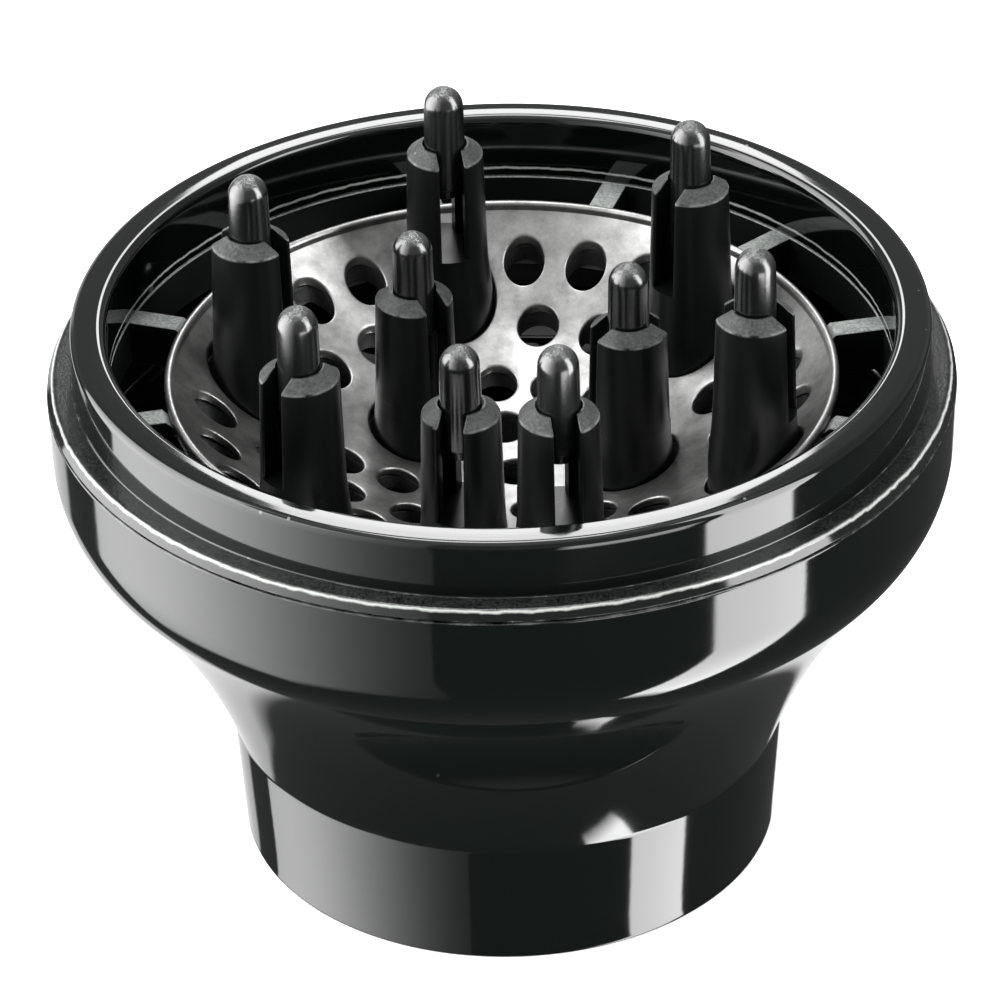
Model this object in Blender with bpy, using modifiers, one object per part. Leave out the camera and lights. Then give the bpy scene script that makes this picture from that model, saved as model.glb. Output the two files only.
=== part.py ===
"""Hair dryer diffuser: a round air spreader that pushes onto the barrel of a hair dryer.

The axis is Z. The collar, which takes the barrel, stands on z = 0 and the fingers point up.
-Y is the front, where one of the two grip scoops in the neck lies. Sizes are in millimetres
and angles in degrees; turned() and the other makers turn them into metres.
"""

import math

import bmesh
import bpy
from mathutils import Matrix, Vector

MM = 0.001
MERGE = 0.00001

# Clearance between two pieces that touch, thickness of moulded walls, and how far a cutter
# runs past what it cuts
GAP = 0.3
WALL = 2.2
CUTTER_PAST = 5.0

# Outer shell: collar, flared neck and bowl wall
SHELL_RADIUS = 65.0
RIM_HEIGHT = 75.3
COLLAR_TAPER = 1.3
COLLAR_HEIGHT = 19.6
COLLAR_EDGE = 0.5
FLARE_START_ANGLE = 18.0
FLARE_TOP_BELOW_RIM = 19.3
FLARE_TOP_INSET = 4.0
WALL_DRAFT = 1.5
LEDGE_BELOW_RIM = 7.2
LEDGE_WIDTH = 2.2

# Socket for the dryer's barrel: the soft ring's groove, and above it a land that ends at the stop
BARREL_RADIUS = 34.9
RING_THICKNESS = 1.9
STOP_WIDTH = 1.5
STOP_THICKNESS = 2.4
SOCKET_DEPTH = 17.3
MOUTH_CLEARANCE = 1.1
MOUTH_LIP_HEIGHT = 2.4
LAND_CLEARANCE = 0.4
LAND_HEIGHT = 2.1
GRIP_RIB_HEIGHT = 0.6
GRIP_RIB_COUNT = 3

# Grip scoops, cut by a round bar that lies across the neck
SCOOP_HEIGHT = 43.1
SCOOP_RADIUS = 11.3
SCOOP_DEPTH = 4.4
SCOOP_HALF_LENGTH = 30.0

# Top ring: lip, wall, shelf and the skirt that goes into the shell
RING_HEIGHT = 10.3
RING_WALL_INSET = 3.8
RING_WIDTH = 5.1
LIP_OUTER_ROUND = 1.1
LIP_INNER_ROUND = 1.3
LIP_THICKNESS = 1.8
SHELF_HEIGHT = 1.5
BEAD_INSET = 1.3
BEAD_ROUND = 0.5
SKIRT_THICKNESS = 1.8
SKIRT_DEPTH = 4.6
SKIRT_CLEARANCE = 0.4

# Spoke frame between the shell and the dish
SPOKE_COUNT = 12
SPOKE_WIDTH = 3.7
SPOKE_DEPTH = 7.2
SPOKE_CHAMFER = 1.1
SPOKE_ROOT_IN_HOOP = 1.2
SPOKE_DIP = 1.0
HOOP_THICKNESS = 2.0
HOOP_FLANGE_THICKNESS = 2.0
INNER_HOOP_DEPTH = 9.0

# Dish: a perforated metal cap of a sphere, which leaves a gap for air to the bowl's wall
AIR_GAP = 8.5
DISH_DEPTH = 21.0
DISH_THICKNESS = 1.2
FINGER_HOLE_CLEARANCE = 0.45
PERFORATION_RADIUS = 3.0
EDGE_HOLES_INSET = 6.3
SECOND_HOLES_INSET = 14.8
HOLES_OUTSIDE_INNER_CIRCLE = 4.8
HOLES_INSIDE_INNER_CIRCLE = 3.3
MIDDLE_HOLES_CIRCLE = 6.0

# Fingers: slotted bodies on the carrier, each with a round-tipped pin
HEAD_TURN = -20.0
OUTER_FINGERS = 6
OUTER_CIRCLE_INSET = 10.1
OUTER_TIP_RISE = 23.1
INNER_FINGERS = 3
INNER_CIRCLE = 18.7
INNER_TIP_RISE = 12.0
INNER_TURN = 30.0
PIN_RADIUS = 3.0
PIN_LENGTH = 13.0
PIN_STUB_RADIUS = 2.2
PIN_STUB_LENGTH = 1.6
SHOULDER_DROP = 6.2
SHOULDER_HEIGHT = 1.6
FINGER_TOP_RADIUS = 5.6
FINGER_LOW_RADIUS = 6.05
FINGER_BASE_RADIUS = 6.6
FINGER_DRAFT_LENGTH = 17.0
FINGER_FLARE_LENGTH = 6.0
SLOT_WIDTH = 3.7
SLOT_DEPTH = 23.2
BORE_SHORT_OF_SLOT = 0.6
SPIGOT_RADIUS = 4.4
SPIGOT_LENGTH = 3.2

# Carrier: the moulded cap below the dish that holds the fingers
CARRIER_THICKNESS = 2.2
CARRIER_CLEARANCE = 0.4
CARRIER_PERFORATION_RADIUS = 3.5
CUP_WALL = 1.5
CUP_FLOOR = 2.6
SEAT_BELOW_DISH = 0.6

# Air deflector on a stem below the carrier
DEFLECTOR_RADIUS = 19.0
DEFLECTOR_DROP = 13.0
DEFLECTOR_THICKNESS = 1.6
DEFLECTOR_CONE = 7.0
DEFLECTOR_STEM_RADIUS = 2.6

# Facets
ROUND_STEPS = 40
INNER_STEPS = 32
SCOOP_STEPS = 24
CAP_STEPS = 5
FINGER_STEPS = 12
PIN_STEPS = 10
PERFORATION_STEPS = 7
CARRIER_PERFORATION_STEPS = 5
CUP_STEPS = 12

# Worked out from the sizes above
STOP_RADIUS = BARREL_RADIUS - STOP_WIDTH
MOUTH_LIP_RADIUS = BARREL_RADIUS + MOUTH_CLEARANCE
LAND_RADIUS = BARREL_RADIUS + LAND_CLEARANCE
GROOVE_TOP = SOCKET_DEPTH - LAND_HEIGHT
GROOVE_RADIUS = BARREL_RADIUS + RING_THICKNESS + GAP
COLLAR_BOTTOM_RADIUS = GROOVE_RADIUS + WALL
COLLAR_TOP_RADIUS = COLLAR_BOTTOM_RADIUS + COLLAR_TAPER
RING_WALL_RADIUS = SHELL_RADIUS - RING_WALL_INSET
BOWL_RADIUS = RING_WALL_RADIUS - RING_WIDTH
DISH_RADIUS = BOWL_RADIUS - AIR_GAP
OUTER_CIRCLE = DISH_RADIUS - OUTER_CIRCLE_INSET
SKIRT_RADIUS = SHELL_RADIUS - WALL - SKIRT_CLEARANCE
LEDGE_HEIGHT = RIM_HEIGHT - LEDGE_BELOW_RIM
LEDGE_RADIUS = SHELL_RADIUS - WALL - LEDGE_WIDTH
RING_BASE = RIM_HEIGHT + GAP
RING_TOP = RIM_HEIGHT + RING_HEIGHT
SPHERE_RADIUS = (DISH_RADIUS**2 + DISH_DEPTH**2) / (2 * DISH_DEPTH)
SPHERE_HEIGHT = RIM_HEIGHT - DISH_DEPTH + SPHERE_RADIUS
OUTER_TIP_HEIGHT = RIM_HEIGHT + OUTER_TIP_RISE
INNER_TIP_HEIGHT = RIM_HEIGHT + INNER_TIP_RISE
DISH_HOLE_RADIUS = FINGER_BASE_RADIUS + FINGER_HOLE_CLEARANCE
BORE_RADIUS = PIN_RADIUS + GAP
SPIGOT_HOLE_RADIUS = SPIGOT_RADIUS + GAP
CUP_BORE_RADIUS = FINGER_BASE_RADIUS + GAP
CUP_RADIUS = CUP_BORE_RADIUS + CUP_WALL
CARRIER_RADIUS = DISH_RADIUS - HOOP_THICKNESS - 2 * GAP

# Rings of small holes: radius, sectors in the turn, and angles in the sector from an outer finger
PERFORATION_RINGS = [
    (DISH_RADIUS - EDGE_HOLES_INSET, 6, (17.0, 30.0, 43.0)),
    (DISH_RADIUS - SECOND_HOLES_INSET, 6, (21.6, 38.4)),
    (INNER_CIRCLE + HOLES_OUTSIDE_INNER_CIRCLE, 3, (70.0, 90.0, 110.0)),
    (INNER_CIRCLE - HOLES_INSIDE_INNER_CIRCLE, 3, (73.0, 107.0)),
    (MIDDLE_HOLES_CIRCLE, 3, (90.0,)),
]


def cap_height(radius, below):
    """Height of the sphere that lies `below` the dish's upper face, at this distance from the axis."""
    sphere = SPHERE_RADIUS + below
    return SPHERE_HEIGHT - math.sqrt(sphere**2 - radius**2)


def finger_length():
    """Drop from the tip's centre to the seat, so that the seat lies below the dish on both circles."""
    lengths = []
    for circle, tip in ((OUTER_CIRCLE, OUTER_TIP_HEIGHT), (INNER_CIRCLE, INNER_TIP_HEIGHT)):
        lowest = cap_height(circle - DISH_HOLE_RADIUS, DISH_THICKNESS) - SEAT_BELOW_DISH
        lengths.append(tip - lowest)
    return max(lengths)


FINGER_LENGTH = finger_length()


def finger_places():
    """Angle, circle and tip height of each finger: the outer ones first."""
    places = []
    for index in range(OUTER_FINGERS):
        places.append((HEAD_TURN + index * 360 / OUTER_FINGERS, OUTER_CIRCLE, OUTER_TIP_HEIGHT))
    for index in range(INNER_FINGERS):
        angle = HEAD_TURN + INNER_TURN + index * 360 / INNER_FINGERS
        places.append((angle, INNER_CIRCLE, INNER_TIP_HEIGHT))
    return places


def perforation_places():
    """Angle and radius of each small hole in the dish."""
    places = []
    for radius, sectors, angles in PERFORATION_RINGS:
        for sector in range(sectors):
            for angle in angles:
                places.append((HEAD_TURN + sector * 360 / sectors + angle, radius))
    return places


def on_circle(angle, radius, height=0.0):
    """Point in metres at this angle and radius about the axis."""
    turn = math.radians(angle)
    return Vector((radius * math.cos(turn), radius * math.sin(turn), height)) * MM


def new_collection(name):
    collection = bpy.data.collections.new(name)
    bpy.context.scene.collection.children.link(collection)
    return collection


def new_material(name, colour, roughness, metallic=0.0):
    material = bpy.data.materials.new(name)
    material.use_nodes = True
    shader = material.node_tree.nodes["Principled BSDF"]
    shader.inputs["Base Color"].default_value = (*colour, 1.0)
    shader.inputs["Roughness"].default_value = roughness
    shader.inputs["Metallic"].default_value = metallic
    return material


def as_cutter(piece):
    """Keep a shape as a cutter: the build leaves it out, and Booleans still read it."""
    for collection in list(piece.users_collection):
        collection.objects.unlink(piece)
    CUTTERS.objects.link(piece)
    piece.hide_render = True
    piece.display_type = "WIRE"
    return piece


def new_object(name, mesh, material=None):
    piece = bpy.data.objects.new(name, mesh)
    PARTS.objects.link(piece)
    if material:
        mesh.materials.clear()
        mesh.materials.append(material)
    return piece


def turned(name, profile, material=None, steps=ROUND_STEPS, closed=False):
    """A turned solid: the profile (radius, height) runs down the outer side, top to bottom."""
    points = [Vector((radius, 0.0, height)) * MM for radius, height in profile]
    edges = [(index, index + 1) for index in range(len(points) - 1)]
    if closed:
        edges.append((len(points) - 1, 0))
    mesh = bpy.data.meshes.new(name)
    mesh.from_pydata(points, edges, [])
    piece = new_object(name, mesh, material)
    screw = piece.modifiers.new("Turn", "SCREW")
    screw.axis = "Z"
    screw.angle = math.tau
    screw.steps = steps
    screw.render_steps = steps
    screw.use_merge_vertices = True
    screw.merge_threshold = MERGE
    screw.use_smooth_shade = True
    return piece


def cut(piece, cutter, operation="DIFFERENCE"):
    boolean = piece.modifiers.new(operation.title(), "BOOLEAN")
    boolean.operation = operation
    boolean.solver = "EXACT"
    boolean.object = cutter
    return piece


def evaluated_mesh(piece, name):
    """The piece's mesh with its modifiers applied."""
    bpy.context.view_layer.update()
    graph = bpy.context.evaluated_depsgraph_get()
    mesh = bpy.data.meshes.new_from_object(piece.evaluated_get(graph))
    mesh.name = name
    return mesh


def upright_bars(name, bars, steps):
    """Round bars with vertical axes, each (angle, circle, radius, bottom, top), as one cutter."""
    shape = bmesh.new()
    for angle, circle, radius, bottom, top in bars:
        place = Matrix.Translation(on_circle(angle, circle, (bottom + top) / 2))
        turn = Matrix.Rotation(math.radians(angle), 4, "Z")
        bmesh.ops.create_cone(
            shape,
            cap_ends=True,
            segments=steps,
            radius1=radius * MM,
            radius2=radius * MM,
            depth=(top - bottom) * MM,
            matrix=place @ turn,
        )
    mesh = bpy.data.meshes.new(name)
    shape.to_mesh(mesh)
    shape.free()
    return as_cutter(new_object(name, mesh))


def cross_bars(name, radius, out, height, half_length):
    """Two round bars along X, in front of the axis and behind it, as one cutter."""
    shape = bmesh.new()
    for side in (-1, 1):
        place = Matrix.Translation(Vector((0.0, side * out, height)) * MM)
        bmesh.ops.create_cone(
            shape,
            cap_ends=True,
            segments=SCOOP_STEPS,
            radius1=radius * MM,
            radius2=radius * MM,
            depth=2 * half_length * MM,
            matrix=place @ Matrix.Rotation(math.pi / 2, 4, "Y"),
        )
    mesh = bpy.data.meshes.new(name)
    shape.to_mesh(mesh)
    shape.free()
    return as_cutter(new_object(name, mesh))


def arc(centre, radius, start, end, steps):
    """Points (radius, height) on an arc, with angles in degrees from the outward direction."""
    points = []
    for index in range(steps + 1):
        angle = math.radians(start + (end - start) * index / steps)
        points.append((centre[0] + radius * math.cos(angle), centre[1] + radius * math.sin(angle)))
    return points


def shell_outside(flare_steps=5, shoulder_steps=4):
    """Outer side from the collar's top up to the rim, with each point's lean from the vertical.

    The neck is one arc that bends outward. A shoulder arc of the opposite bend meets it without
    a kink, and its radius is the one that brings the straight wall above it to the shell's radius.
    """
    start = math.radians(FLARE_START_ANGLE)
    draft = math.radians(WALL_DRAFT)
    top_radius = SHELL_RADIUS - FLARE_TOP_INSET
    top_height = RIM_HEIGHT - FLARE_TOP_BELOW_RIM
    across = top_radius - COLLAR_TOP_RADIUS
    up = top_height - COLLAR_HEIGHT
    end = 2 * math.atan2(across, up) - start
    bend = math.hypot(across, up) / (2 * math.sin((end - start) / 2))
    reach = FLARE_TOP_INSET - FLARE_TOP_BELOW_RIM * math.tan(draft)
    fall = math.cos(draft) - math.cos(end) - (math.sin(end) - math.sin(draft)) * math.tan(draft)
    shoulder = reach / fall
    points = []
    for index in range(flare_steps + 1):
        lean = start + (end - start) * index / flare_steps
        radius = COLLAR_TOP_RADIUS + bend * (math.cos(start) - math.cos(lean))
        height = COLLAR_HEIGHT + bend * (math.sin(lean) - math.sin(start))
        points.append((radius, height, lean))
    for index in range(1, shoulder_steps + 1):
        lean = end + (draft - end) * index / shoulder_steps
        radius = top_radius + shoulder * (math.cos(lean) - math.cos(end))
        height = top_height + shoulder * (math.sin(end) - math.sin(lean))
        points.append((radius, height, lean))
    points.append((SHELL_RADIUS, RIM_HEIGHT, draft))
    return points


def inside_of(points, depth):
    """The same line moved in by `depth`, square to the wall."""
    moved = []
    for radius, height, lean in points:
        moved.append((radius - depth * math.cos(lean), height + depth * math.sin(lean)))
    return moved


def crossing(line, radius):
    """Height at which a line that widens upward reaches this radius."""
    for (low_radius, low), (high_radius, high) in zip(line, line[1:]):
        if low_radius <= radius <= high_radius:
            return low + (high - low) * (radius - low_radius) / (high_radius - low_radius)
    raise ValueError("the wall never reaches this radius")


def neck_point(height):
    """Radius and lean of the neck's outer side at this height."""
    points = shell_outside(flare_steps=40)
    return min(points, key=lambda point: abs(point[1] - height))


def make_shell(material):
    outside = shell_outside()
    inside = inside_of(outside, WALL)[:-1]
    ledge_foot = crossing(inside, LEDGE_RADIUS)
    below_ledge = [point for point in inside if point[1] < ledge_foot]
    stop_top = below_ledge[0][1]
    profile = [(radius, height) for radius, height, lean in reversed(outside)]
    profile += [
        (COLLAR_BOTTOM_RADIUS, COLLAR_EDGE),
        (COLLAR_BOTTOM_RADIUS - COLLAR_EDGE, 0.0),
        (MOUTH_LIP_RADIUS, 0.0),
        (MOUTH_LIP_RADIUS, MOUTH_LIP_HEIGHT),
        (GROOVE_RADIUS, MOUTH_LIP_HEIGHT),
        (GROOVE_RADIUS, GROOVE_TOP),
        (MOUTH_LIP_RADIUS, GROOVE_TOP),
        (LAND_RADIUS, SOCKET_DEPTH),
        (STOP_RADIUS, SOCKET_DEPTH),
        (STOP_RADIUS, max(stop_top, SOCKET_DEPTH + STOP_THICKNESS)),
    ]
    profile += below_ledge
    profile += [
        (LEDGE_RADIUS, ledge_foot),
        (LEDGE_RADIUS, LEDGE_HEIGHT),
        (SHELL_RADIUS - WALL - LEDGE_BELOW_RIM * math.tan(math.radians(WALL_DRAFT)), LEDGE_HEIGHT),
        (SHELL_RADIUS - WALL, RIM_HEIGHT),
    ]
    shell = turned("outer_shell", profile, material, closed=True)

    # Each scoop's back is a pad inside the wall, so that the wall keeps its thickness there
    radius, height, lean = neck_point(SCOOP_HEIGHT)
    stand_off = SCOOP_RADIUS - SCOOP_DEPTH
    out = radius + stand_off * math.cos(lean)
    level = height - stand_off * math.sin(lean)
    middle = inside_of(outside, WALL / 2)
    core_profile = [(0.0, middle[-1][1])] + middle[::-1] + [(0.0, middle[0][1])]
    core = as_cutter(turned("scoop_core", core_profile))
    pads = cross_bars("scoop_pads", SCOOP_RADIUS + WALL, out, level, SCOOP_HALF_LENGTH)
    cut(pads, core, "INTERSECT")
    cut(shell, pads, "UNION")
    bars = cross_bars("scoop_bars", SCOOP_RADIUS, out, level, SCOOP_HALF_LENGTH + WALL)
    return cut(shell, bars)


def make_grip_ring(material):
    outer = BARREL_RADIUS + RING_THICKNESS
    bottom = MOUTH_LIP_HEIGHT + GAP
    top = GROOVE_TOP - GAP
    profile = [(BARREL_RADIUS, top), (outer, top), (outer, bottom), (BARREL_RADIUS, bottom)]
    pitch = (top - bottom) / (GRIP_RIB_COUNT + 1)
    for index in range(1, GRIP_RIB_COUNT + 1):
        height = bottom + index * pitch
        profile.append((BARREL_RADIUS, height - GRIP_RIB_HEIGHT))
        profile.append((BARREL_RADIUS - GRIP_RIB_HEIGHT, height))
        profile.append((BARREL_RADIUS, height + GRIP_RIB_HEIGHT))
    return turned("barrel_grip_ring", profile, material, steps=INNER_STEPS, closed=True)


def make_top_ring(material):
    wall = RING_WALL_RADIUS
    shelf = RING_BASE + SHELF_HEIGHT
    bead = SHELL_RADIUS - BEAD_INSET
    skirt_inner = SKIRT_RADIUS - SKIRT_THICKNESS
    outer_centre = (wall - LIP_OUTER_ROUND, RING_TOP - LIP_OUTER_ROUND)
    inner_centre = (BOWL_RADIUS + LIP_INNER_ROUND, RING_TOP - LIP_INNER_ROUND)
    profile = arc(outer_centre, LIP_OUTER_ROUND, 90, 0, 3)
    profile.append((wall, shelf))
    profile += arc((bead - BEAD_ROUND, shelf - BEAD_ROUND), BEAD_ROUND, 90, 20, 2)
    profile += [
        (SHELL_RADIUS, RING_BASE),
        (SKIRT_RADIUS, RING_BASE),
        (SKIRT_RADIUS, RING_BASE - SKIRT_DEPTH),
        (skirt_inner, RING_BASE - SKIRT_DEPTH),
        (skirt_inner, RING_BASE),
        (wall - SKIRT_THICKNESS, shelf),
        (wall - SKIRT_THICKNESS, RING_TOP - LIP_THICKNESS),
        (BOWL_RADIUS + SKIRT_THICKNESS, RING_TOP - LIP_THICKNESS),
        (BOWL_RADIUS + SKIRT_THICKNESS, RING_BASE),
        (BOWL_RADIUS, RING_BASE),
    ]
    profile += arc(inner_centre, LIP_INNER_ROUND, 180, 90, 3)
    return turned("top_ring", profile, material, closed=True)


def outline_mesh(name, outline, half_thickness):
    """A flat outline (x, z) given a thickness across Y, from a filled curve."""
    curve = bpy.data.curves.new(name, "CURVE")
    curve.dimensions = "2D"
    curve.fill_mode = "BOTH"
    curve.extrude = half_thickness * MM
    spline = curve.splines.new("POLY")
    spline.points.add(len(outline) - 1)
    for point, (x, z) in zip(spline.points, outline):
        point.co = (x * MM, z * MM, 0.0, 1.0)
    spline.use_cyclic_u = True
    holder = bpy.data.objects.new(name, curve)
    PARTS.objects.link(holder)
    mesh = evaluated_mesh(holder, name)
    bpy.data.objects.remove(holder)
    shape = bmesh.new()
    shape.from_mesh(mesh)
    bmesh.ops.remove_doubles(shape, verts=shape.verts, dist=MERGE)
    bmesh.ops.rotate(shape, verts=shape.verts, matrix=Matrix.Rotation(math.pi / 2, 3, "X"))
    shape.to_mesh(mesh)
    shape.free()
    return mesh


def make_spokes():
    """All the spokes as one cutter, which is joined to the two hoops."""
    top = RIM_HEIGHT
    bottom = RIM_HEIGHT - SPOKE_DEPTH
    start = DISH_RADIUS + GAP
    under_rim = cap_height(DISH_RADIUS, DISH_THICKNESS) - 2 * GAP
    root = DISH_RADIUS - SPOKE_ROOT_IN_HOOP
    outline = [
        (BOWL_RADIUS + HOOP_THICKNESS / 2, top - GAP / 2),
        (start + SPOKE_CHAMFER, top - GAP / 2),
        (start, top - GAP / 2 - SPOKE_CHAMFER),
        (start, under_rim - SPOKE_DIP / 2),
        (root, cap_height(root, DISH_THICKNESS) - 2 * GAP - SPOKE_DIP),
        (root, bottom + GAP),
        (BOWL_RADIUS + HOOP_THICKNESS / 2, bottom + GAP),
    ]
    single = outline_mesh("spoke", outline, SPOKE_WIDTH / 2)
    shape = bmesh.new()
    for index in range(SPOKE_COUNT):
        before = len(shape.verts)
        shape.from_mesh(single)
        shape.verts.ensure_lookup_table()
        turn = Matrix.Rotation(math.radians(HEAD_TURN + index * 360 / SPOKE_COUNT), 3, "Z")
        bmesh.ops.rotate(shape, verts=shape.verts[before:], matrix=turn)
    mesh = bpy.data.meshes.new("spokes")
    shape.to_mesh(mesh)
    shape.free()
    return as_cutter(new_object("spokes", mesh))


def make_spoke_frame(material):
    web = BOWL_RADIUS + HOOP_THICKNESS
    flange_top = LEDGE_HEIGHT + GAP + HOOP_FLANGE_THICKNESS
    bottom = LEDGE_HEIGHT + GAP
    flange_radius = LEDGE_RADIUS + LEDGE_WIDTH - 2 * GAP
    outer_hoop = [
        (web, RIM_HEIGHT),
        (web, flange_top),
        (flange_radius, flange_top),
        (flange_radius, bottom),
        (BOWL_RADIUS, bottom),
        (BOWL_RADIUS, RIM_HEIGHT),
    ]
    frame = turned("spoke_frame", outer_hoop, material, closed=True)
    inner_radius = DISH_RADIUS - HOOP_THICKNESS
    under_dish = 2 * GAP
    inner_hoop = [
        (DISH_RADIUS, cap_height(DISH_RADIUS, DISH_THICKNESS) - under_dish),
        (DISH_RADIUS, RIM_HEIGHT - INNER_HOOP_DEPTH),
        (inner_radius, RIM_HEIGHT - INNER_HOOP_DEPTH),
        (inner_radius, cap_height(inner_radius, DISH_THICKNESS) - under_dish),
    ]
    hoop = as_cutter(turned("inner_hoop", inner_hoop, closed=True))
    cut(frame, make_spokes(), "UNION")
    return cut(frame, hoop, "UNION")


def cap_places(radius):
    """Distances from the axis at which every cap has its points, so that nested caps stay parallel."""
    steps = [DISH_RADIUS * index / CAP_STEPS for index in range(CAP_STEPS)]
    return [place for place in steps if place < radius] + [radius]


def cap_line(radius, below):
    """The sphere `below` the dish's upper face, from the axis to this radius."""
    return [(place, cap_height(place, below)) for place in cap_places(radius)]


def cap_profile(radius, below, thickness):
    """A cap of even thickness that follows the dish's sphere."""
    return cap_line(radius, below) + cap_line(radius, below + thickness)[::-1]


def make_dish(material):
    bottom = cap_height(0.0, DISH_THICKNESS) - CUTTER_PAST
    top = RIM_HEIGHT + CUTTER_PAST
    profile = cap_profile(DISH_RADIUS, 0.0, DISH_THICKNESS)
    dish = turned("dish_plate", profile, material, steps=INNER_STEPS)
    fingers = [(angle, circle, DISH_HOLE_RADIUS, bottom, top) for angle, circle, tip in finger_places()]
    holes = [(angle, circle, PERFORATION_RADIUS, bottom, top) for angle, circle in perforation_places()]
    cut(dish, upright_bars("dish_finger_holes", fingers, CUP_STEPS))
    return cut(dish, upright_bars("dish_perforations", holes, PERFORATION_STEPS))


def make_carrier(material):
    """The cap below the dish, with a cup for each finger's seat and holes behind the dish's own."""
    below = DISH_THICKNESS + CARRIER_CLEARANCE
    top = RIM_HEIGHT + CUTTER_PAST
    low = cap_height(0.0, below + CARRIER_THICKNESS) - CUTTER_PAST
    profile = cap_profile(CARRIER_RADIUS, below, CARRIER_THICKNESS)
    carrier = turned("finger_carrier", profile, material, steps=INNER_STEPS)

    cups = []
    bores = []
    spigots = []
    for angle, circle, tip in finger_places():
        seat = tip - FINGER_LENGTH
        cups.append((angle, circle, CUP_RADIUS, seat - GAP - CUP_FLOOR, top))
        bores.append((angle, circle, CUP_BORE_RADIUS, seat - GAP, top))
        through = seat - SPIGOT_LENGTH - CUTTER_PAST
        spigots.append((angle, circle, SPIGOT_HOLE_RADIUS, through, top))
    cup_bars = upright_bars("cup_bars", cups, CUP_STEPS)
    edge = CARRIER_RADIUS - GAP
    floor = min(cup[3] for cup in cups) - CUTTER_PAST
    roof = cap_line(edge, below + CARRIER_THICKNESS / 4)
    under = as_cutter(turned("under_dish", roof + [(edge, floor), (0.0, floor)], steps=INNER_STEPS))
    cut(cup_bars, under, "INTERSECT")
    cut(carrier, cup_bars, "UNION")
    cut(carrier, upright_bars("cup_bores", bores, CUP_STEPS))
    cut(carrier, upright_bars("spigot_holes", spigots, PIN_STEPS))
    holes = []
    for angle, circle in perforation_places():
        holes.append((angle, circle, CARRIER_PERFORATION_RADIUS, low, top))
    return cut(carrier, upright_bars("carrier_perforations", holes, CARRIER_PERFORATION_STEPS))


def finger_mesh(material):
    """One finger body with its tip's centre at the origin and its slot along X."""
    shoulder = -SHOULDER_DROP
    neck = shoulder - SHOULDER_HEIGHT
    flare = neck - FINGER_DRAFT_LENGTH
    base = flare - FINGER_FLARE_LENGTH
    bore_floor = -(SLOT_DEPTH - BORE_SHORT_OF_SLOT)
    profile = [
        (0.0, bore_floor),
        (BORE_RADIUS, bore_floor),
        (BORE_RADIUS, shoulder),
        (FINGER_TOP_RADIUS, neck),
        (FINGER_LOW_RADIUS, flare),
        (FINGER_BASE_RADIUS, base),
        (FINGER_BASE_RADIUS, -FINGER_LENGTH),
        (SPIGOT_RADIUS, -FINGER_LENGTH),
        (SPIGOT_RADIUS, -FINGER_LENGTH - SPIGOT_LENGTH),
        (0.0, -FINGER_LENGTH - SPIGOT_LENGTH),
    ]
    body = as_cutter(turned("finger_blank", profile, steps=FINGER_STEPS))
    shape = bmesh.new()
    bmesh.ops.create_cube(shape, size=1.0)
    length = 4 * FINGER_BASE_RADIUS
    size = Vector((length, SLOT_WIDTH, SLOT_DEPTH)) * MM
    bmesh.ops.scale(shape, vec=size, verts=shape.verts)
    bmesh.ops.translate(shape, vec=Vector((0.0, 0.0, -SLOT_DEPTH / 2)) * MM, verts=shape.verts)
    slot = bpy.data.meshes.new("finger_slot")
    shape.to_mesh(slot)
    shape.free()
    cut(body, as_cutter(new_object("finger_slot", slot)))
    mesh = evaluated_mesh(body, "finger_body")
    mesh.materials.clear()
    mesh.materials.append(material)
    return mesh


def pin_mesh(material):
    """One pin with its tip's centre at the origin."""
    profile = [(0.0, PIN_RADIUS)] + arc((0.0, 0.0), PIN_RADIUS, 90, 0, 3)[1:]
    profile += [
        (PIN_RADIUS, -PIN_LENGTH),
        (PIN_STUB_RADIUS, -PIN_LENGTH),
        (PIN_STUB_RADIUS, -PIN_LENGTH - PIN_STUB_LENGTH),
        (0.0, -PIN_LENGTH - PIN_STUB_LENGTH),
    ]
    blank = as_cutter(turned("pin_blank", profile, steps=PIN_STEPS))
    mesh = evaluated_mesh(blank, "finger_pin")
    mesh.materials.clear()
    mesh.materials.append(material)
    return mesh


def make_fingers(body_material, pin_material):
    body = finger_mesh(body_material)
    pin = pin_mesh(pin_material)
    for number, (angle, circle, tip) in enumerate(finger_places(), start=1):
        for kind, mesh in (("finger_body", body), ("finger_pin", pin)):
            piece = new_object(f"{kind}_{number}", mesh)
            piece.location = on_circle(angle, circle, tip)
            piece.rotation_euler.z = math.radians(angle)
            piece.parent = HEAD


def make_deflector(material):
    """A shallow cone, point down, that turns the air outward on its way to the dish."""
    below = DISH_THICKNESS + CARRIER_CLEARANCE + CARRIER_THICKNESS
    top = cap_height(0.0, below) - GAP
    brim = top - DEFLECTOR_DROP
    profile = [
        (0.0, top),
        (DEFLECTOR_STEM_RADIUS, top),
        (DEFLECTOR_STEM_RADIUS, brim - DEFLECTOR_CONE + 2 * DEFLECTOR_THICKNESS),
        (DEFLECTOR_RADIUS - DEFLECTOR_THICKNESS, brim),
        (DEFLECTOR_RADIUS, brim),
        (DEFLECTOR_RADIUS, brim - DEFLECTOR_THICKNESS),
        (0.0, brim - DEFLECTOR_CONE - DEFLECTOR_THICKNESS),
    ]
    return turned("air_deflector", profile, material, steps=INNER_STEPS)


for leftover in list(bpy.data.objects):
    bpy.data.objects.remove(leftover)

PARTS = new_collection("Hair dryer diffuser")
CUTTERS = new_collection("Cutters")
HEAD = bpy.data.objects.new("head", None)
PARTS.objects.link(HEAD)

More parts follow.
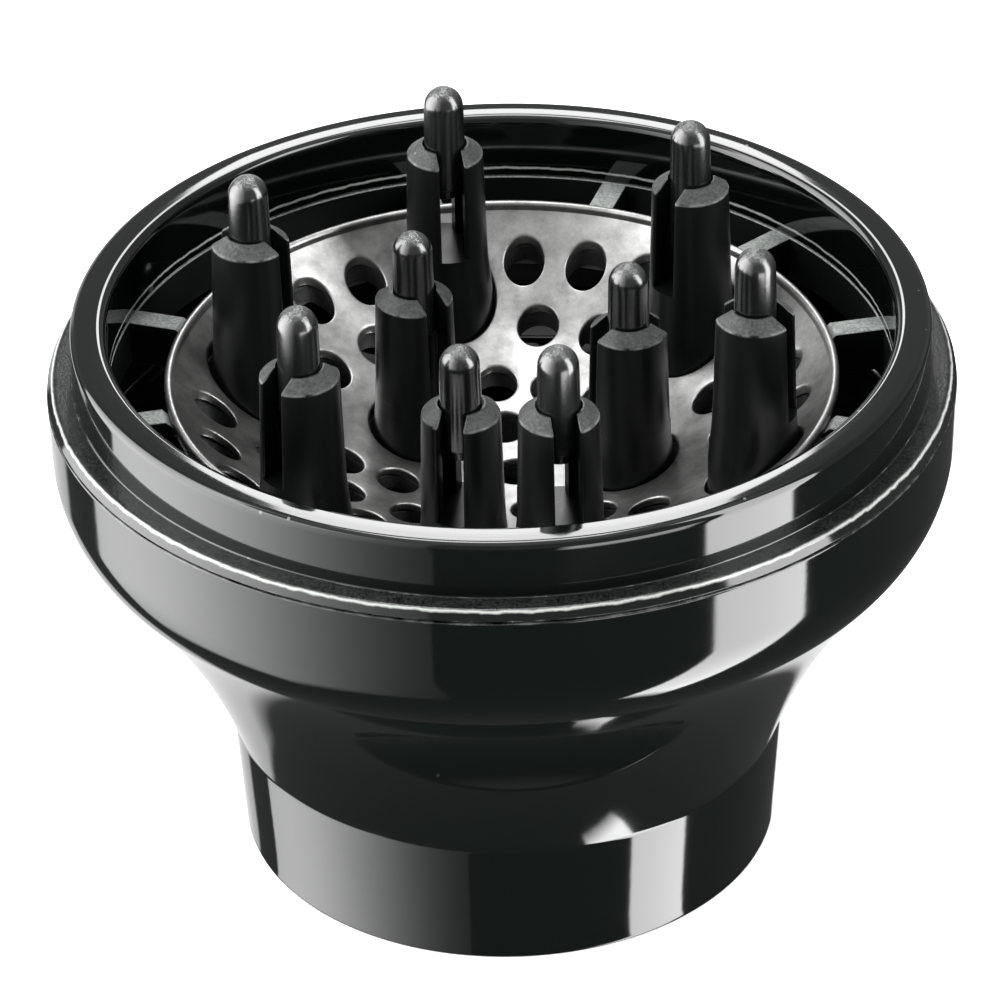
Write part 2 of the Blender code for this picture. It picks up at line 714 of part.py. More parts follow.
gloss_black = new_material("gloss black plastic", (0.010, 0.013, 0.012), 0.12)
satin_black = new_material("satin black plastic", (0.014, 0.017, 0.016), 0.45)
pin_black = new_material("dark pin plastic", (0.030, 0.032, 0.032), 0.30)
dish_metal = new_material("satin metal", (0.62, 0.62, 0.61), 0.35, 1.0)
inner_black = new_material("inner black plastic", (0.012, 0.014, 0.013), 0.55)
soft_black = new_material("soft black rubber", (0.020, 0.020, 0.020), 0.80)

make_shell(gloss_black)
make_grip_ring(soft_black)
make_top_ring(gloss_black)
for insert in (
    make_spoke_frame(satin_black),
    make_dish(dish_metal),
    make_carrier(inner_black),
    make_deflector(inner_black),
):
    insert.parent = HEAD
make_fingers(satin_black, pin_black)
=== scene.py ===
"""Looks for a hair dryer diffuser: polished shell and lip, satin dish, grained spokes and slotted fingers.

Shapes are worked out in millimetres, in the frame's axes: Z is the axis, the collar stands on z = 0
and -Y is the front. Meshes are written in metres.
"""

from math import atan2, cos, hypot, pi, radians, sin, tan, tau

import bmesh
import bpy
import numpy as np
from bpy.props import FloatProperty, FloatVectorProperty, IntProperty, PointerProperty
from mathutils import Matrix, Vector
from mathutils.geometry import delaunay_2d_cdt


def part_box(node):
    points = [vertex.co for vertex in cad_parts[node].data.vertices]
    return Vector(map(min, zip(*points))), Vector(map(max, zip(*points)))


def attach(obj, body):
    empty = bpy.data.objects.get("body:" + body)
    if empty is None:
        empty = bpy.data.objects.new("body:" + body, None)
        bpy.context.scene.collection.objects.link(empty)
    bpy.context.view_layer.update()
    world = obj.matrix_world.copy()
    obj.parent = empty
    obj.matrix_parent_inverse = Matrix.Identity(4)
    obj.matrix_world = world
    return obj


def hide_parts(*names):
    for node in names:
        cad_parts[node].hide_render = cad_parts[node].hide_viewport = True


bl_info = {
    "name": "Hair Dryer Diffuser",
    "version": (1, 0, 0),
    "blender": (4, 5, 0),
    "location": "View3D > Sidebar > Diffuser",
    "description": "Builds the finished surfaces and materials of a hair dryer diffuser",
    "category": "Add Mesh",
}

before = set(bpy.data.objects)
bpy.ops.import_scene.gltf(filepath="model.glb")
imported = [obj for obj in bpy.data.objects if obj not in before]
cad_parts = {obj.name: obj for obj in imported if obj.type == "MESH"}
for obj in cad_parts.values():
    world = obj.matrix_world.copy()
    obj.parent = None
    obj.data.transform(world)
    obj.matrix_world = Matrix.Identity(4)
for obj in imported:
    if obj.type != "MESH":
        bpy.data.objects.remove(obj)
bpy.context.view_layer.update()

MM = 0.001
MERGE = 1e-6
SHARP_ANGLE = radians(38.0)


def high(node, axis):
    """Largest coordinate of a node along an axis, in millimetres."""
    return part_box(node)[1][axis] / MM


def low(node, axis):
    """Smallest coordinate of a node along an axis, in millimetres."""
    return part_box(node)[0][axis] / MM


# Read from the frame
SHELL_RADIUS = high("outer_shell", 0)
RIM_HEIGHT = high("outer_shell", 2)
RING_TOP = high("top_ring", 2)
SKIRT_BOTTOM = low("top_ring", 2)
DISH_RADIUS = high("dish_plate", 0)
HOOP_BOTTOM = low("spoke_frame", 2)
CARRIER_RADIUS = high("finger_carrier", 0)
BRIM_RADIUS = high("air_deflector", 0)
DEFLECTOR_BOTTOM = low("air_deflector", 2)
DEFLECTOR_TOP = high("air_deflector", 2)
GRIP_TOP = high("barrel_grip_ring", 2)
GRIP_BOTTOM = low("barrel_grip_ring", 2)
GRIP_RADIUS = high("barrel_grip_ring", 0)

# Walls, clearances and small edges
WALL = 2.2
GAP = 0.3
DISH_THICKNESS = 1.2
DISH_BEAD = 0.68
CARRIER_THICKNESS = 2.2
CARRIER_CLEARANCE = 0.4

# Outer shell
COLLAR_HEIGHT = 19.6
COLLAR_TAPER = 1.3
MOUTH_RADIUS = 36.0
MOUTH_LIP_HEIGHT = 2.4
GROOVE_RADIUS = 37.1
GROOVE_TOP = 15.2
LAND_RADIUS = 35.3
SOCKET_DEPTH = 17.3
STOP_RADIUS = 33.4
FLARE_START = radians(18.0)
FLARE_TOP_BELOW_RIM = 19.3
FLARE_TOP_INSET = 4.0
WALL_DRAFT = radians(1.5)
LEDGE_BELOW_RIM = 7.2
LEDGE_RADIUS = SHELL_RADIUS - WALL - 2.2
SCOOP_HEIGHT = 43.1
SCOOP_RADIUS = 11.3
SCOOP_SPAN = radians(26.0)

# Top ring
RING_WALL = SHELL_RADIUS - 3.8
BOWL_RADIUS = RING_WALL - 5.1
SHELF = RIM_HEIGHT + GAP + 1.5
BEAD_RADIUS = SHELL_RADIUS - 1.3
SKIRT_RADIUS = SHELL_RADIUS - 2.6
SKIN = 1.8
LIP_CROWN = 0.07

# Spoke frame
SPOKES = 12
SPOKE_WIDTH = 3.7
SPOKE_BOTTOM = RIM_HEIGHT - 6.9
SPOKE_TOP = RIM_HEIGHT - 0.15
SPOKE_CHAMFER = 1.1
SPOKE_EDGE = 0.22
HOOP_THICKNESS = 2.0

# Fingers
HEAD_TURN = -20.0
OUTER_CIRCLE = DISH_RADIUS - 10.1
INNER_CIRCLE = 18.7
PIN_RADIUS = 3.0
OUTER_TIP = high("finger_pin_1", 2) - PIN_RADIUS
INNER_TIP = high("finger_pin_7", 2) - PIN_RADIUS
FINGER_LENGTH = OUTER_TIP - low("finger_body_1", 2)
SPIGOT_LENGTH = 3.2
SLOT_HALF = 1.85
SLOT_FLOOR = -23.2
BORE_RADIUS = 3.3
FINGER_HOLE = 7.05
CUP_RADIUS = 8.4
CUP_BORE = 6.9

# The dish is part of a sphere
DISH_DEPTH = RIM_HEIGHT - low("dish_plate", 2) - DISH_THICKNESS
SPHERE_RADIUS = (DISH_RADIUS**2 + DISH_DEPTH**2) / (2 * DISH_DEPTH)
SPHERE_HEIGHT = RIM_HEIGHT - DISH_DEPTH + SPHERE_RADIUS

# Circles of small holes: radius, sectors in a turn, and angles in a sector from an outer finger
HOLE_CIRCLES = (
    (DISH_RADIUS - 6.3, 6, (17.0, 30.0, 43.0)),
    (DISH_RADIUS - 14.8, 6, (21.6, 38.4)),
    (INNER_CIRCLE + 4.8, 3, (70.0, 90.0, 110.0)),
    (INNER_CIRCLE - 3.3, 3, (73.0, 107.0)),
    (6.0, 3, (90.0,)),
)

# Materials: a range of normals that takes in every face, and the plastic's index of refraction
ALL_FACES = (-2.0, -1.5)
PLASTIC_IOR = 1.5

# Camera, in degrees and metres
CAMERA_LENS = 213.16
CAMERA_AZIMUTH = -1.8
CAMERA_ELEVATION = 32.753
CAMERA_ROLL = -1.178
CAMERA_DISTANCE = 0.8585
CAMERA_AIM = (-0.000608, 0.000019, 0.05335)

# Floor and light
FLOOR_HALF = 6.0
FLOOR_GLOW = 0.3
MIDDLE_HEIGHT = 0.06
AMBIENT = 0.08

# Studio panels by direction: left, right, bottom and top edge in degrees, softness of the side edges and
# of the top and bottom ones, and radiance. Azimuth 0 is the front and 90 the right side.
PANELS = (
    (53.0, 81.0, -70.0, 54.0, 0.5, 2.0, 10.5),
    (-190.0, -150.0, -50.0, 12.0, 1.5, 2.0, 1.0),
    (165.0, 190.0, -48.0, 12.0, 1.5, 2.0, 1.0),
    (13.0, 47.0, -31.0, -6.0, 2.0, 1.0, 6.0),
    (-190.0, 190.0, -4.0, 95.0, 1.0, 10.0, 0.3),
    (-190.0, 190.0, 56.0, 95.0, 1.0, 10.0, 0.8),
)

# The large softbox fades to both sides of its centre, and its lower edge climbs past the left side
SOFTBOX = (-130.0, -21.0, -62.0, 50.0)
SOFTBOX_PEAK = 7.0
SOFTBOX_CENTRE = -93.0
SOFTBOX_SPREAD = 30.0
SOFTBOX_SLANT = 0.35


# ---------------------------------------------------------------- sizes and colours a user may change


def length(name, description, default, smallest, largest):
    """A size that is stated here in millimetres."""
    return FloatProperty(
        name=name,
        description=description,
        default=default * MM,
        min=smallest * MM,
        max=largest * MM,
        subtype="DISTANCE",
        unit="LENGTH",
    )


def colour(name, description, default):
    """A colour with three parts."""
    return FloatVectorProperty(
        name=name, description=description, default=default, size=3, min=0.0, max=1.0, subtype="COLOR"
    )


class DiffuserSizes(bpy.types.PropertyGroup):
    """Sizes of the visible detail"""

    perforation_radius: length("Small hole radius", "Radius of the small holes in the dish", 3.0, 1.0, 3.4)
    scoop_depth: length("Grip scoop depth", "How deep each scoop is pressed into the neck", 4.4, 1.0, 6.0)
    lip_round: length("Lip round", "Radius of the lip's outer and inner edges", 1.2, 0.3, 1.6)
    hole_edge: length("Hole edge round", "Radius of the drawn edge round each hole", 0.32, 0.05, 0.5)
    turn_steps: IntProperty(
        name="Steps round",
        description="Facets in a full turn of the turned pieces",
        default=288,
        min=48,
        max=360,
    )


class DiffuserColours(bpy.types.PropertyGroup):
    """Colours of the materials"""

    gloss: colour("Polished plastic", "Colour of the shell and the lip", (0.0012, 0.0019, 0.0016))
    satin: colour("Satin plastic", "Colour of the spokes and the finger bodies", (0.0022, 0.0030, 0.0027))
    grain: colour("Grained faces", "Lighter tone of the spark-grained faces", (0.050, 0.054, 0.052))
    pin: colour("Pins", "Colour of the round-tipped pins", (0.003, 0.0036, 0.0034))
    metal: colour("Dish metal", "Colour of the satin metal dish", (0.36, 0.36, 0.355))
    # Painted highlight: this light tone paints the thin lines along the seam and along the shelf's bead,
    # where edges would catch the light
    seam: colour("Painted seam highlight", "Tone of the painted highlight lines on shell and ring", (0.11, 0.115, 0.11))
    rubber: colour("Grip rubber", "Colour of the soft ring that holds the barrel", (0.018, 0.018, 0.018))
    floor: colour("Floor", "Colour of the floor", (0.90, 0.90, 0.90))


# ---------------------------------------------------------------- surfaces


def cap_height(radius, below=0.0):
    """Height of the sphere that lies `below` the dish's upper face: centre height less the root of
    (sphere radius + below) squared less the distance from the axis squared."""
    sphere = SPHERE_RADIUS + below
    return SPHERE_HEIGHT - np.sqrt(sphere**2 - np.square(radius))


def quads(rows, columns, wrap_rows=False):
    """Faces of a grid whose columns run round: each joins a point to the next column and the next row."""
    row = np.arange(rows if wrap_rows else rows - 1)[:, None]
    column = np.arange(columns)[None, :]
    after = (column + 1) % columns
    below = (row + 1) % rows
    here, under = row * columns, below * columns
    corners = (here + column, here + after, under + after, under + column)
    return np.stack(np.broadcast_arrays(*corners), -1).reshape(-1, 4)


def grid(points, wrap_rows=False):
    """A sheet from points laid out as rows x columns x 3."""
    rows, columns = points.shape[:2]
    return points.reshape(-1, 3), quads(rows, columns, wrap_rows)


def rounded(corners, closed=True, steps=5):
    """Outline through corners (x, y, fillet). Each fillet is the arc that touches both sides, found from
    the centre on the bisector at fillet / sin(half angle). A point just past each end of an arc keeps
    the flats beside it flat."""
    data = np.array(corners, float)
    place, fillet = data[:, :2], data[:, 2:3]
    back = np.roll(place, 1, 0) - place
    ahead = np.roll(place, -1, 0) - place
    back_length = np.linalg.norm(back, axis=1, keepdims=True)
    ahead_length = np.linalg.norm(ahead, axis=1, keepdims=True)
    back, ahead = back / back_length, ahead / ahead_length
    middle = back + ahead
    half = np.arccos(np.clip((back * ahead).sum(1, keepdims=True), -0.9999, 0.9999)) / 2
    inward = middle / np.maximum(np.linalg.norm(middle, axis=1, keepdims=True), 1e-9)
    centre = place + inward * fillet / np.sin(half)
    reach = fillet / np.tan(half)
    first, last = place + back * reach, place + ahead * reach
    share = np.linspace(0.0, 1.0, steps + 1)[None, :, None]
    spoke = (first - centre)[:, None] * (1 - share) + (last - centre)[:, None] * share
    spoke = spoke / np.maximum(np.linalg.norm(spoke, axis=2, keepdims=True), 1e-9) * fillet[:, None]
    arc = centre[:, None] + spoke
    hold = 0.3 * fillet
    before = place + back * np.maximum(reach, np.minimum(reach + hold, back_length / 2))
    after = place + ahead * np.maximum(reach, np.minimum(reach + hold, ahead_length / 2))
    line = np.concatenate([before[:, None], arc, after[:, None]], 1)
    if not closed:
        return np.concatenate([place[:1], line[1:-1].reshape(-1, 2), place[-1:]])
    return line.reshape(-1, 2)


def turned(profile, steps, closed=True):
    """A turned surface: profile point (r, z) goes to (r cos t, r sin t, z) for t round the circle."""
    turn = np.linspace(0, tau, steps, endpoint=False)
    radius, height = profile[:, :1], profile[:, 1:]
    points = np.stack([radius * np.cos(turn), radius * np.sin(turn), height + 0 * turn], -1)
    return grid(points, wrap_rows=closed)


def placed(sheet, angle, circle, height):
    """The sheet turned by `angle` degrees about Z, then carried out to a point on a circle."""
    points, faces = sheet
    turn = radians(angle)
    cosine, sine = cos(turn), sin(turn)
    x = points[:, 0] * cosine - points[:, 1] * sine + circle * cosine
    y = points[:, 0] * sine + points[:, 1] * cosine + circle * sine
    return np.stack([x, y, points[:, 2] + height], -1), faces


def piece(name, sheets, material, body="root", nodes=()):
    """One closed mesh from several sheets: doubles merged, faces turned outward, and tied to the frame."""
    points = []
    faces = []
    count = 0
    for part_points, part_faces in sheets:
        points.append(part_points)
        faces += (np.asarray(part_faces) + count).tolist()
        count += len(part_points)
    mesh = bpy.data.meshes.new(name)
    mesh.from_pydata((np.concatenate(points) * MM).tolist(), [], faces)
    shape = bmesh.new()
    shape.from_mesh(mesh)
    bmesh.ops.remove_doubles(shape, verts=shape.verts, dist=MERGE)
    bmesh.ops.dissolve_degenerate(shape, edges=shape.edges, dist=MERGE / 10)
    bmesh.ops.recalc_face_normals(shape, faces=shape.faces)
    shape.to_mesh(mesh)
    shape.free()
    mesh.shade_smooth()
    mesh.set_sharp_from_angle(angle=SHARP_ANGLE)
    mesh.materials.append(material)
    made = bpy.data.objects.new(name, mesh)
    bpy.context.scene.collection.objects.link(made)
    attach(made, body)
    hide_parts(*nodes)
    return made


def neck_line(steps=400):
    """Radius and height of the shell's outer side from the collar's top to the rim.

    The neck is one arc that bends outward. A shoulder arc of the opposite bend meets it without a kink,
    and its radius is the one that brings the straight wall above it to the shell's radius."""
    top_radius = SHELL_RADIUS - FLARE_TOP_INSET
    top_height = RIM_HEIGHT - FLARE_TOP_BELOW_RIM
    foot = GROOVE_RADIUS + WALL + COLLAR_TAPER
    across, up = top_radius - foot, top_height - COLLAR_HEIGHT
    end = 2 * atan2(across, up) - FLARE_START
    bend = hypot(across, up) / (2 * sin((end - FLARE_START) / 2))
    draft = tan(WALL_DRAFT)
    fall = cos(WALL_DRAFT) - cos(end) - (sin(end) - sin(WALL_DRAFT)) * draft
    shoulder = (FLARE_TOP_INSET - FLARE_TOP_BELOW_RIM * draft) / fall
    lean = np.linspace(FLARE_START, end, steps)
    neck_radius = foot + bend * (cos(FLARE_START) - np.cos(lean))
    neck_height = COLLAR_HEIGHT + bend * (np.sin(lean) - sin(FLARE_START))
    over = np.linspace(end, WALL_DRAFT, steps)[1:]
    over_radius = top_radius + shoulder * (np.cos(over) - cos(end))
    over_height = top_height + shoulder * (sin(end) - np.sin(over))
    radius = np.concatenate([neck_radius, over_radius, [SHELL_RADIUS]])
    height = np.concatenate([neck_height, over_height, [RIM_HEIGHT]])
    return radius, height, np.concatenate([lean, over, [WALL_DRAFT]])


def soft_min(first, second, width):
    """The smaller of two values, with the corner between them rounded over `width`."""
    mix = np.clip(0.5 + 0.5 * (second - first) / width, 0, 1)
    return second + (first - second) * mix - width * mix * (1 - mix)


def bar_radius(offset, height, out, level, bar):
    """Distance from the axis to a bar that lies across the neck at (out, level), in the plane `offset`
    away from the bar's middle: (out - root(bar squared - rise squared)) / cos(offset)."""
    rise = np.square(bar) - np.square(height - level)
    reach = (out - np.sqrt(np.maximum(rise, 0))) / np.cos(offset)
    return np.where(rise > 0, reach, 1e3)


def scoop_edges(aside, level, excess_at):
    """Height of the scoop's lower and upper edge at each angle. Beside the scoop both close on the height
    where the neck comes nearest to the bar."""
    trial = np.linspace(level - SCOOP_RADIUS, level + SCOOP_RADIUS, 900)[:, None]
    excess = excess_at(trial)
    near = (np.abs(aside) < SCOOP_SPAN)[None, :]
    inside = (excess > 0) & near
    closest = trial[np.argmax(np.where(near, excess, -np.abs(trial - SCOOP_HEIGHT - 4)), 0), 0]
    cut = inside.any(0)
    bottom = np.where(cut, trial[np.argmax(inside, 0), 0], closest)
    top = np.where(cut, trial[::-1][np.argmax(inside[::-1], 0), 0], closest)
    middle = (bottom + top) / 2
    return np.minimum(bottom, middle - 0.02), np.maximum(top, middle + 0.02)


def shell_surface(depth):
    """The shell as one closed grid. Rows climb the outer side, cross the rim and come down inside. In the
    neck their heights bend with the angle, so that two rows always lie on the scoop's edges."""
    line_radius, line_height, line_lean = neck_line()
    collar = GROOVE_RADIUS + WALL
    all_radius = np.concatenate([[collar], line_radius])
    all_height = np.concatenate([[0.0], line_height])

    at = np.argmin(np.abs(line_height - SCOOP_HEIGHT))
    stand_off = SCOOP_RADIUS - depth
    out = line_radius[at] + stand_off * cos(line_lean[at])
    level = line_height[at] - stand_off * sin(line_lean[at])

    near = np.linspace(-SCOOP_SPAN, SCOOP_SPAN, 109)
    far = np.linspace(SCOOP_SPAN, pi - SCOOP_SPAN, 84)[1:-1]
    half_turn = np.concatenate([near, far])
    offset = np.concatenate([half_turn, half_turn + pi])
    turn = offset - pi / 2
    aside = (offset + pi / 2) % pi - pi / 2

    def bar(height, radius):
        """Distance from the axis to the bar that presses the scoop."""
        return bar_radius(aside[None, :], height, out, level, radius)

    bottom, top = scoop_edges(
        aside, level, lambda trial: np.interp(trial, all_height, all_radius) - bar(trial, SCOOP_RADIUS)
    )
    collar_rows = np.linspace(1.6, COLLAR_HEIGHT - 0.9, 6)
    collar_rows = np.append(collar_rows, COLLAR_HEIGHT + np.array([-0.4, 0.0, 0.4, 1.2]))
    share = np.linspace(0, 1, 22)[:, None]
    start = COLLAR_HEIGHT + 2.2
    below = start + (bottom - start) * (1 - (1 - share) ** 1.7)
    within = bottom + (top - bottom) * (0.5 - 0.5 * np.cos(pi * np.linspace(0, 1, 42)[1:, None]))
    above = top + (RIM_HEIGHT - 20.3 - top) * (share[1:] ** 1.7)
    wall_rows = np.linspace(RIM_HEIGHT - 19.9, RIM_HEIGHT - 9.5, 26)
    wall_rows = np.append(wall_rows, np.linspace(RIM_HEIGHT - 8.5, RIM_HEIGHT - 1, 4))
    flat = np.ones(len(turn))[None, :]
    height = np.concatenate([collar_rows[:, None] * flat, below, within, above, wall_rows[:, None] * flat])
    radius = np.interp(height, all_height, all_radius)
    radius = soft_min(radius, bar(height, SCOOP_RADIUS), 0.35)

    inner_radius = line_radius - WALL * np.cos(line_lean)
    inner_height = line_height + WALL * np.sin(line_lean)
    keep = np.flatnonzero(inner_radius[:-1] < LEDGE_RADIUS - 0.05)[::16][::-1]
    wall_top = SHELL_RADIUS - WALL
    ledge = RIM_HEIGHT - LEDGE_BELOW_RIM
    rim = rounded(
        [
            (radius[-1, 0], height[-1, 0], 0), (SHELL_RADIUS, RIM_HEIGHT, 0.22), (wall_top, RIM_HEIGHT, 0.22),
            (wall_top - LEDGE_BELOW_RIM * tan(WALL_DRAFT), ledge, 0.15), (LEDGE_RADIUS, ledge, 0.3),
            (LEDGE_RADIUS, inner_height[keep[0]] + 0.05, 0),
        ],
        closed=False,
        steps=3,
    )
    inside_wall = np.stack([inner_radius[keep], inner_height[keep]], -1)
    collar_foot = collar + 0.5 * COLLAR_TAPER / COLLAR_HEIGHT
    socket = rounded(
        [
            (inside_wall[-1, 0], inside_wall[-1, 1], 0), (STOP_RADIUS, inside_wall[-1, 1], 0.3),
            (STOP_RADIUS, SOCKET_DEPTH, 0.3), (LAND_RADIUS, SOCKET_DEPTH, 0.1),
            (MOUTH_RADIUS, GROOVE_TOP, 0.2), (GROOVE_RADIUS, GROOVE_TOP, 0.15),
            (GROOVE_RADIUS, MOUTH_LIP_HEIGHT, 0.15), (MOUTH_RADIUS, MOUTH_LIP_HEIGHT, 0.25),
            (MOUTH_RADIUS, 0.0, 0.5), (collar_foot, 0.0, 0.55), (radius[0, 0], height[0, 0], 0),
        ],
        closed=False,
        steps=3,
    )
    rest = np.concatenate([rim[1:], inside_wall[1:-1], socket[:-1]])
    rest_radius = rest[:, :1] * flat
    rest_height = rest[:, 1:] * flat
    inner = (rest_height > COLLAR_HEIGHT) & (rest_height < ledge - 1)
    padded = soft_min(rest_radius, bar(rest_height, SCOOP_RADIUS + WALL), 1.0)
    rest_radius = np.where(inner, padded, rest_radius)
    radius = np.concatenate([radius, rest_radius])
    height = np.concatenate([height, rest_height])
    points = np.stack([radius * np.cos(turn), radius * np.sin(turn), height], -1)
    return grid(points, wrap_rows=True)


def ring_surface(edge, steps):
    """The top ring's hollow section, turned: lip, outer wall, shelf, bead, skirt and bowl wall."""
    base = RIM_HEIGHT + GAP
    corner_top = RING_TOP - LIP_CROWN
    inside_top = RING_TOP - SKIN
    skirt_inside = SKIRT_RADIUS - SKIN
    section = [
        (RING_WALL, corner_top, edge * 0.92), (RING_WALL, SHELF, 0.25), (BEAD_RADIUS + 0.35, SHELF, 0.8),
        (SHELL_RADIUS, base, 0.12), (SKIRT_RADIUS, base, 0.1), (SKIRT_RADIUS, SKIRT_BOTTOM, 0.2),
        (skirt_inside, SKIRT_BOTTOM, 0.2), (skirt_inside, base, 0.2), (RING_WALL - SKIN, SHELF, 0.2),
        (RING_WALL - SKIN, inside_top, 0.3), (BOWL_RADIUS + SKIN, inside_top, 0.3),
        (BOWL_RADIUS + SKIN, base, 0.1), (BOWL_RADIUS, base, 0.15), (BOWL_RADIUS, corner_top, edge * 1.08),
        ((RING_WALL + BOWL_RADIUS) / 2, RING_TOP, 20.0),
    ]
    return turned(rounded(section, steps=8), steps)


def block(stations, half_width, edge):
    """A bar along X whose section is a rounded rectangle: at each station (x, bottom, top) the outline is
    scaled to that height, and both ends are closed to their middles."""
    stations = np.array(stations, float)
    start = np.arange(4)[:, None] * pi / 2
    lean = (start + np.linspace(0, pi / 2, 4)[None, :]).ravel()
    sideways = np.repeat(np.sign(np.cos(start + pi / 4)), 4)
    upright = np.repeat(np.sign(np.sin(start + pi / 4)), 4)
    across = sideways * (half_width - edge) + edge * np.cos(lean)
    rise = (stations[:, 2] - stations[:, 1]) / 2
    level = (stations[:, 2] + stations[:, 1]) / 2
    up = level[:, None] + upright[None, :] * (rise[:, None] - edge) + edge * np.sin(lean)[None, :]
    body = np.stack([stations[:, :1] + 0 * up, across[None, :] + 0 * up, up], -1)
    ends = []
    for row in (0, -1):
        middle = np.array([stations[row, 0], 0.0, level[row]])
        ends.append(np.broadcast_to(middle, body[:1].shape))
    return grid(np.concatenate([ends[0], body, ends[1]]))


def spoke_sheets():
    """Each spoke is a bar with a chamfered inner end, and a lower bar that joins it to the inner hoop."""
    start = DISH_RADIUS + GAP
    end = BOWL_RADIUS + HOOP_THICKNESS / 2
    slope = start + SPOKE_CHAMFER
    tops = [
        (start, SPOKE_TOP - SPOKE_CHAMFER), (start + 0.05, SPOKE_TOP - SPOKE_CHAMFER + 0.05),
        (slope - 0.05, SPOKE_TOP - 0.05), (slope + 0.08, SPOKE_TOP), (slope + 0.4, SPOKE_TOP),
        (end, SPOKE_TOP),
    ]
    bar = block([(x, SPOKE_BOTTOM, top) for x, top in tops], SPOKE_WIDTH / 2, SPOKE_EDGE)
    under = cap_height(DISH_RADIUS, DISH_THICKNESS) - 3 * GAP
    stations = [(DISH_RADIUS - 1.2, SPOKE_BOTTOM, under), (start + 1, SPOKE_BOTTOM, under)]
    foot = block(stations, SPOKE_WIDTH / 2 - 0.02, SPOKE_EDGE)
    sheets = []
    for index in range(SPOKES):
        angle = HEAD_TURN + index * 360 / SPOKES
        sheets += [placed(bar, angle, 0, 0), placed(foot, angle, 0, 0)]
    return sheets


def hoop_sheets(steps):
    """Outer hoop with its flange, and the inner hoop whose top follows the dish's underside."""
    flange = RIM_HEIGHT - LEDGE_BELOW_RIM + GAP
    web = BOWL_RADIUS + HOOP_THICKNESS
    flange_radius = LEDGE_RADIUS + 1.6
    inner_radius = DISH_RADIUS - HOOP_THICKNESS
    outer_top = cap_height(DISH_RADIUS, DISH_THICKNESS) - 2 * GAP
    inner_top = cap_height(inner_radius, DISH_THICKNESS) - 2 * GAP
    outer = [
        (web, RIM_HEIGHT, 0.25), (web, flange + 2, 0.3), (flange_radius, flange + 2, 0.3),
        (flange_radius, flange, 0.3), (BOWL_RADIUS, flange, 0.3), (BOWL_RADIUS, RIM_HEIGHT, 0.25),
    ]
    inner = [
        (DISH_RADIUS, outer_top, 0.2), (DISH_RADIUS, HOOP_BOTTOM, 0.4), (inner_radius, HOOP_BOTTOM, 0.4),
        (inner_radius, inner_top, 0.2),
    ]
    return [turned(rounded(section, steps=3), steps) for section in (outer, inner)]


def ring_points(centres, radius, count):
    """Points on a circle round each centre: centre + radius (cos t, sin t)."""
    turn = np.linspace(0, tau, count, endpoint=False)
    return centres[:, None] + radius * np.stack([np.cos(turn), np.sin(turn)], -1)


def sheet_between(holes, outer_radius, spacing):
    """Flat triangles (points x 2, faces) that fill a disc of this radius round its holes. Holes are
    (centres, radius, count); the rest of the points lie on circles about the axis."""
    turn = np.linspace(0, tau, 288, endpoint=False)
    rim = outer_radius * np.stack([np.cos(turn), np.sin(turn)], -1)
    loops = [rim]
    for centres, radius, count in holes:
        loops += list(ring_points(centres, radius, count))
    filling = [np.zeros((1, 2))]
    for circle in np.arange(spacing, outer_radius - spacing * 0.4, spacing):
        count = max(6, round(tau * circle / spacing))
        turn = np.linspace(0, tau, count, endpoint=False)
        filling.append(circle * np.stack([np.cos(turn), np.sin(turn)], -1))
    filling = np.concatenate(filling)
    clear = np.ones(len(filling), bool)
    for centres, radius, count in holes:
        apart = np.linalg.norm(filling[:, None] - centres[None], axis=2)
        clear &= (apart > radius + 0.45 * spacing).all(1)
    points = np.concatenate(loops + [filling[clear]])
    edges = []
    start = 0
    for loop in loops:
        index = np.arange(len(loop))
        edges.append(np.stack([index, (index + 1) % len(loop)], -1) + start)
        start += len(loop)
    places = [Vector(point) for point in points.tolist()]
    found = delaunay_2d_cdt(places, np.concatenate(edges).tolist(), [], 0, 1e-6)
    flat = np.array([tuple(place) for place in found[0]])
    faces = np.array(found[2])
    middle = flat[faces].mean(1)
    keep = np.linalg.norm(middle, axis=1) < outer_radius
    for centres, radius, count in holes:
        apart = np.linalg.norm(middle[:, None] - centres[None], axis=2)
        keep &= (apart > radius * cos(pi / count) - 1e-4).all(1)
    return flat, faces[keep]


def lifted(flat, below):
    """Flat points raised onto the sphere that lies `below` the dish's upper face."""
    return np.concatenate([flat, cap_height(np.linalg.norm(flat, axis=-1), below)[..., None]], -1)


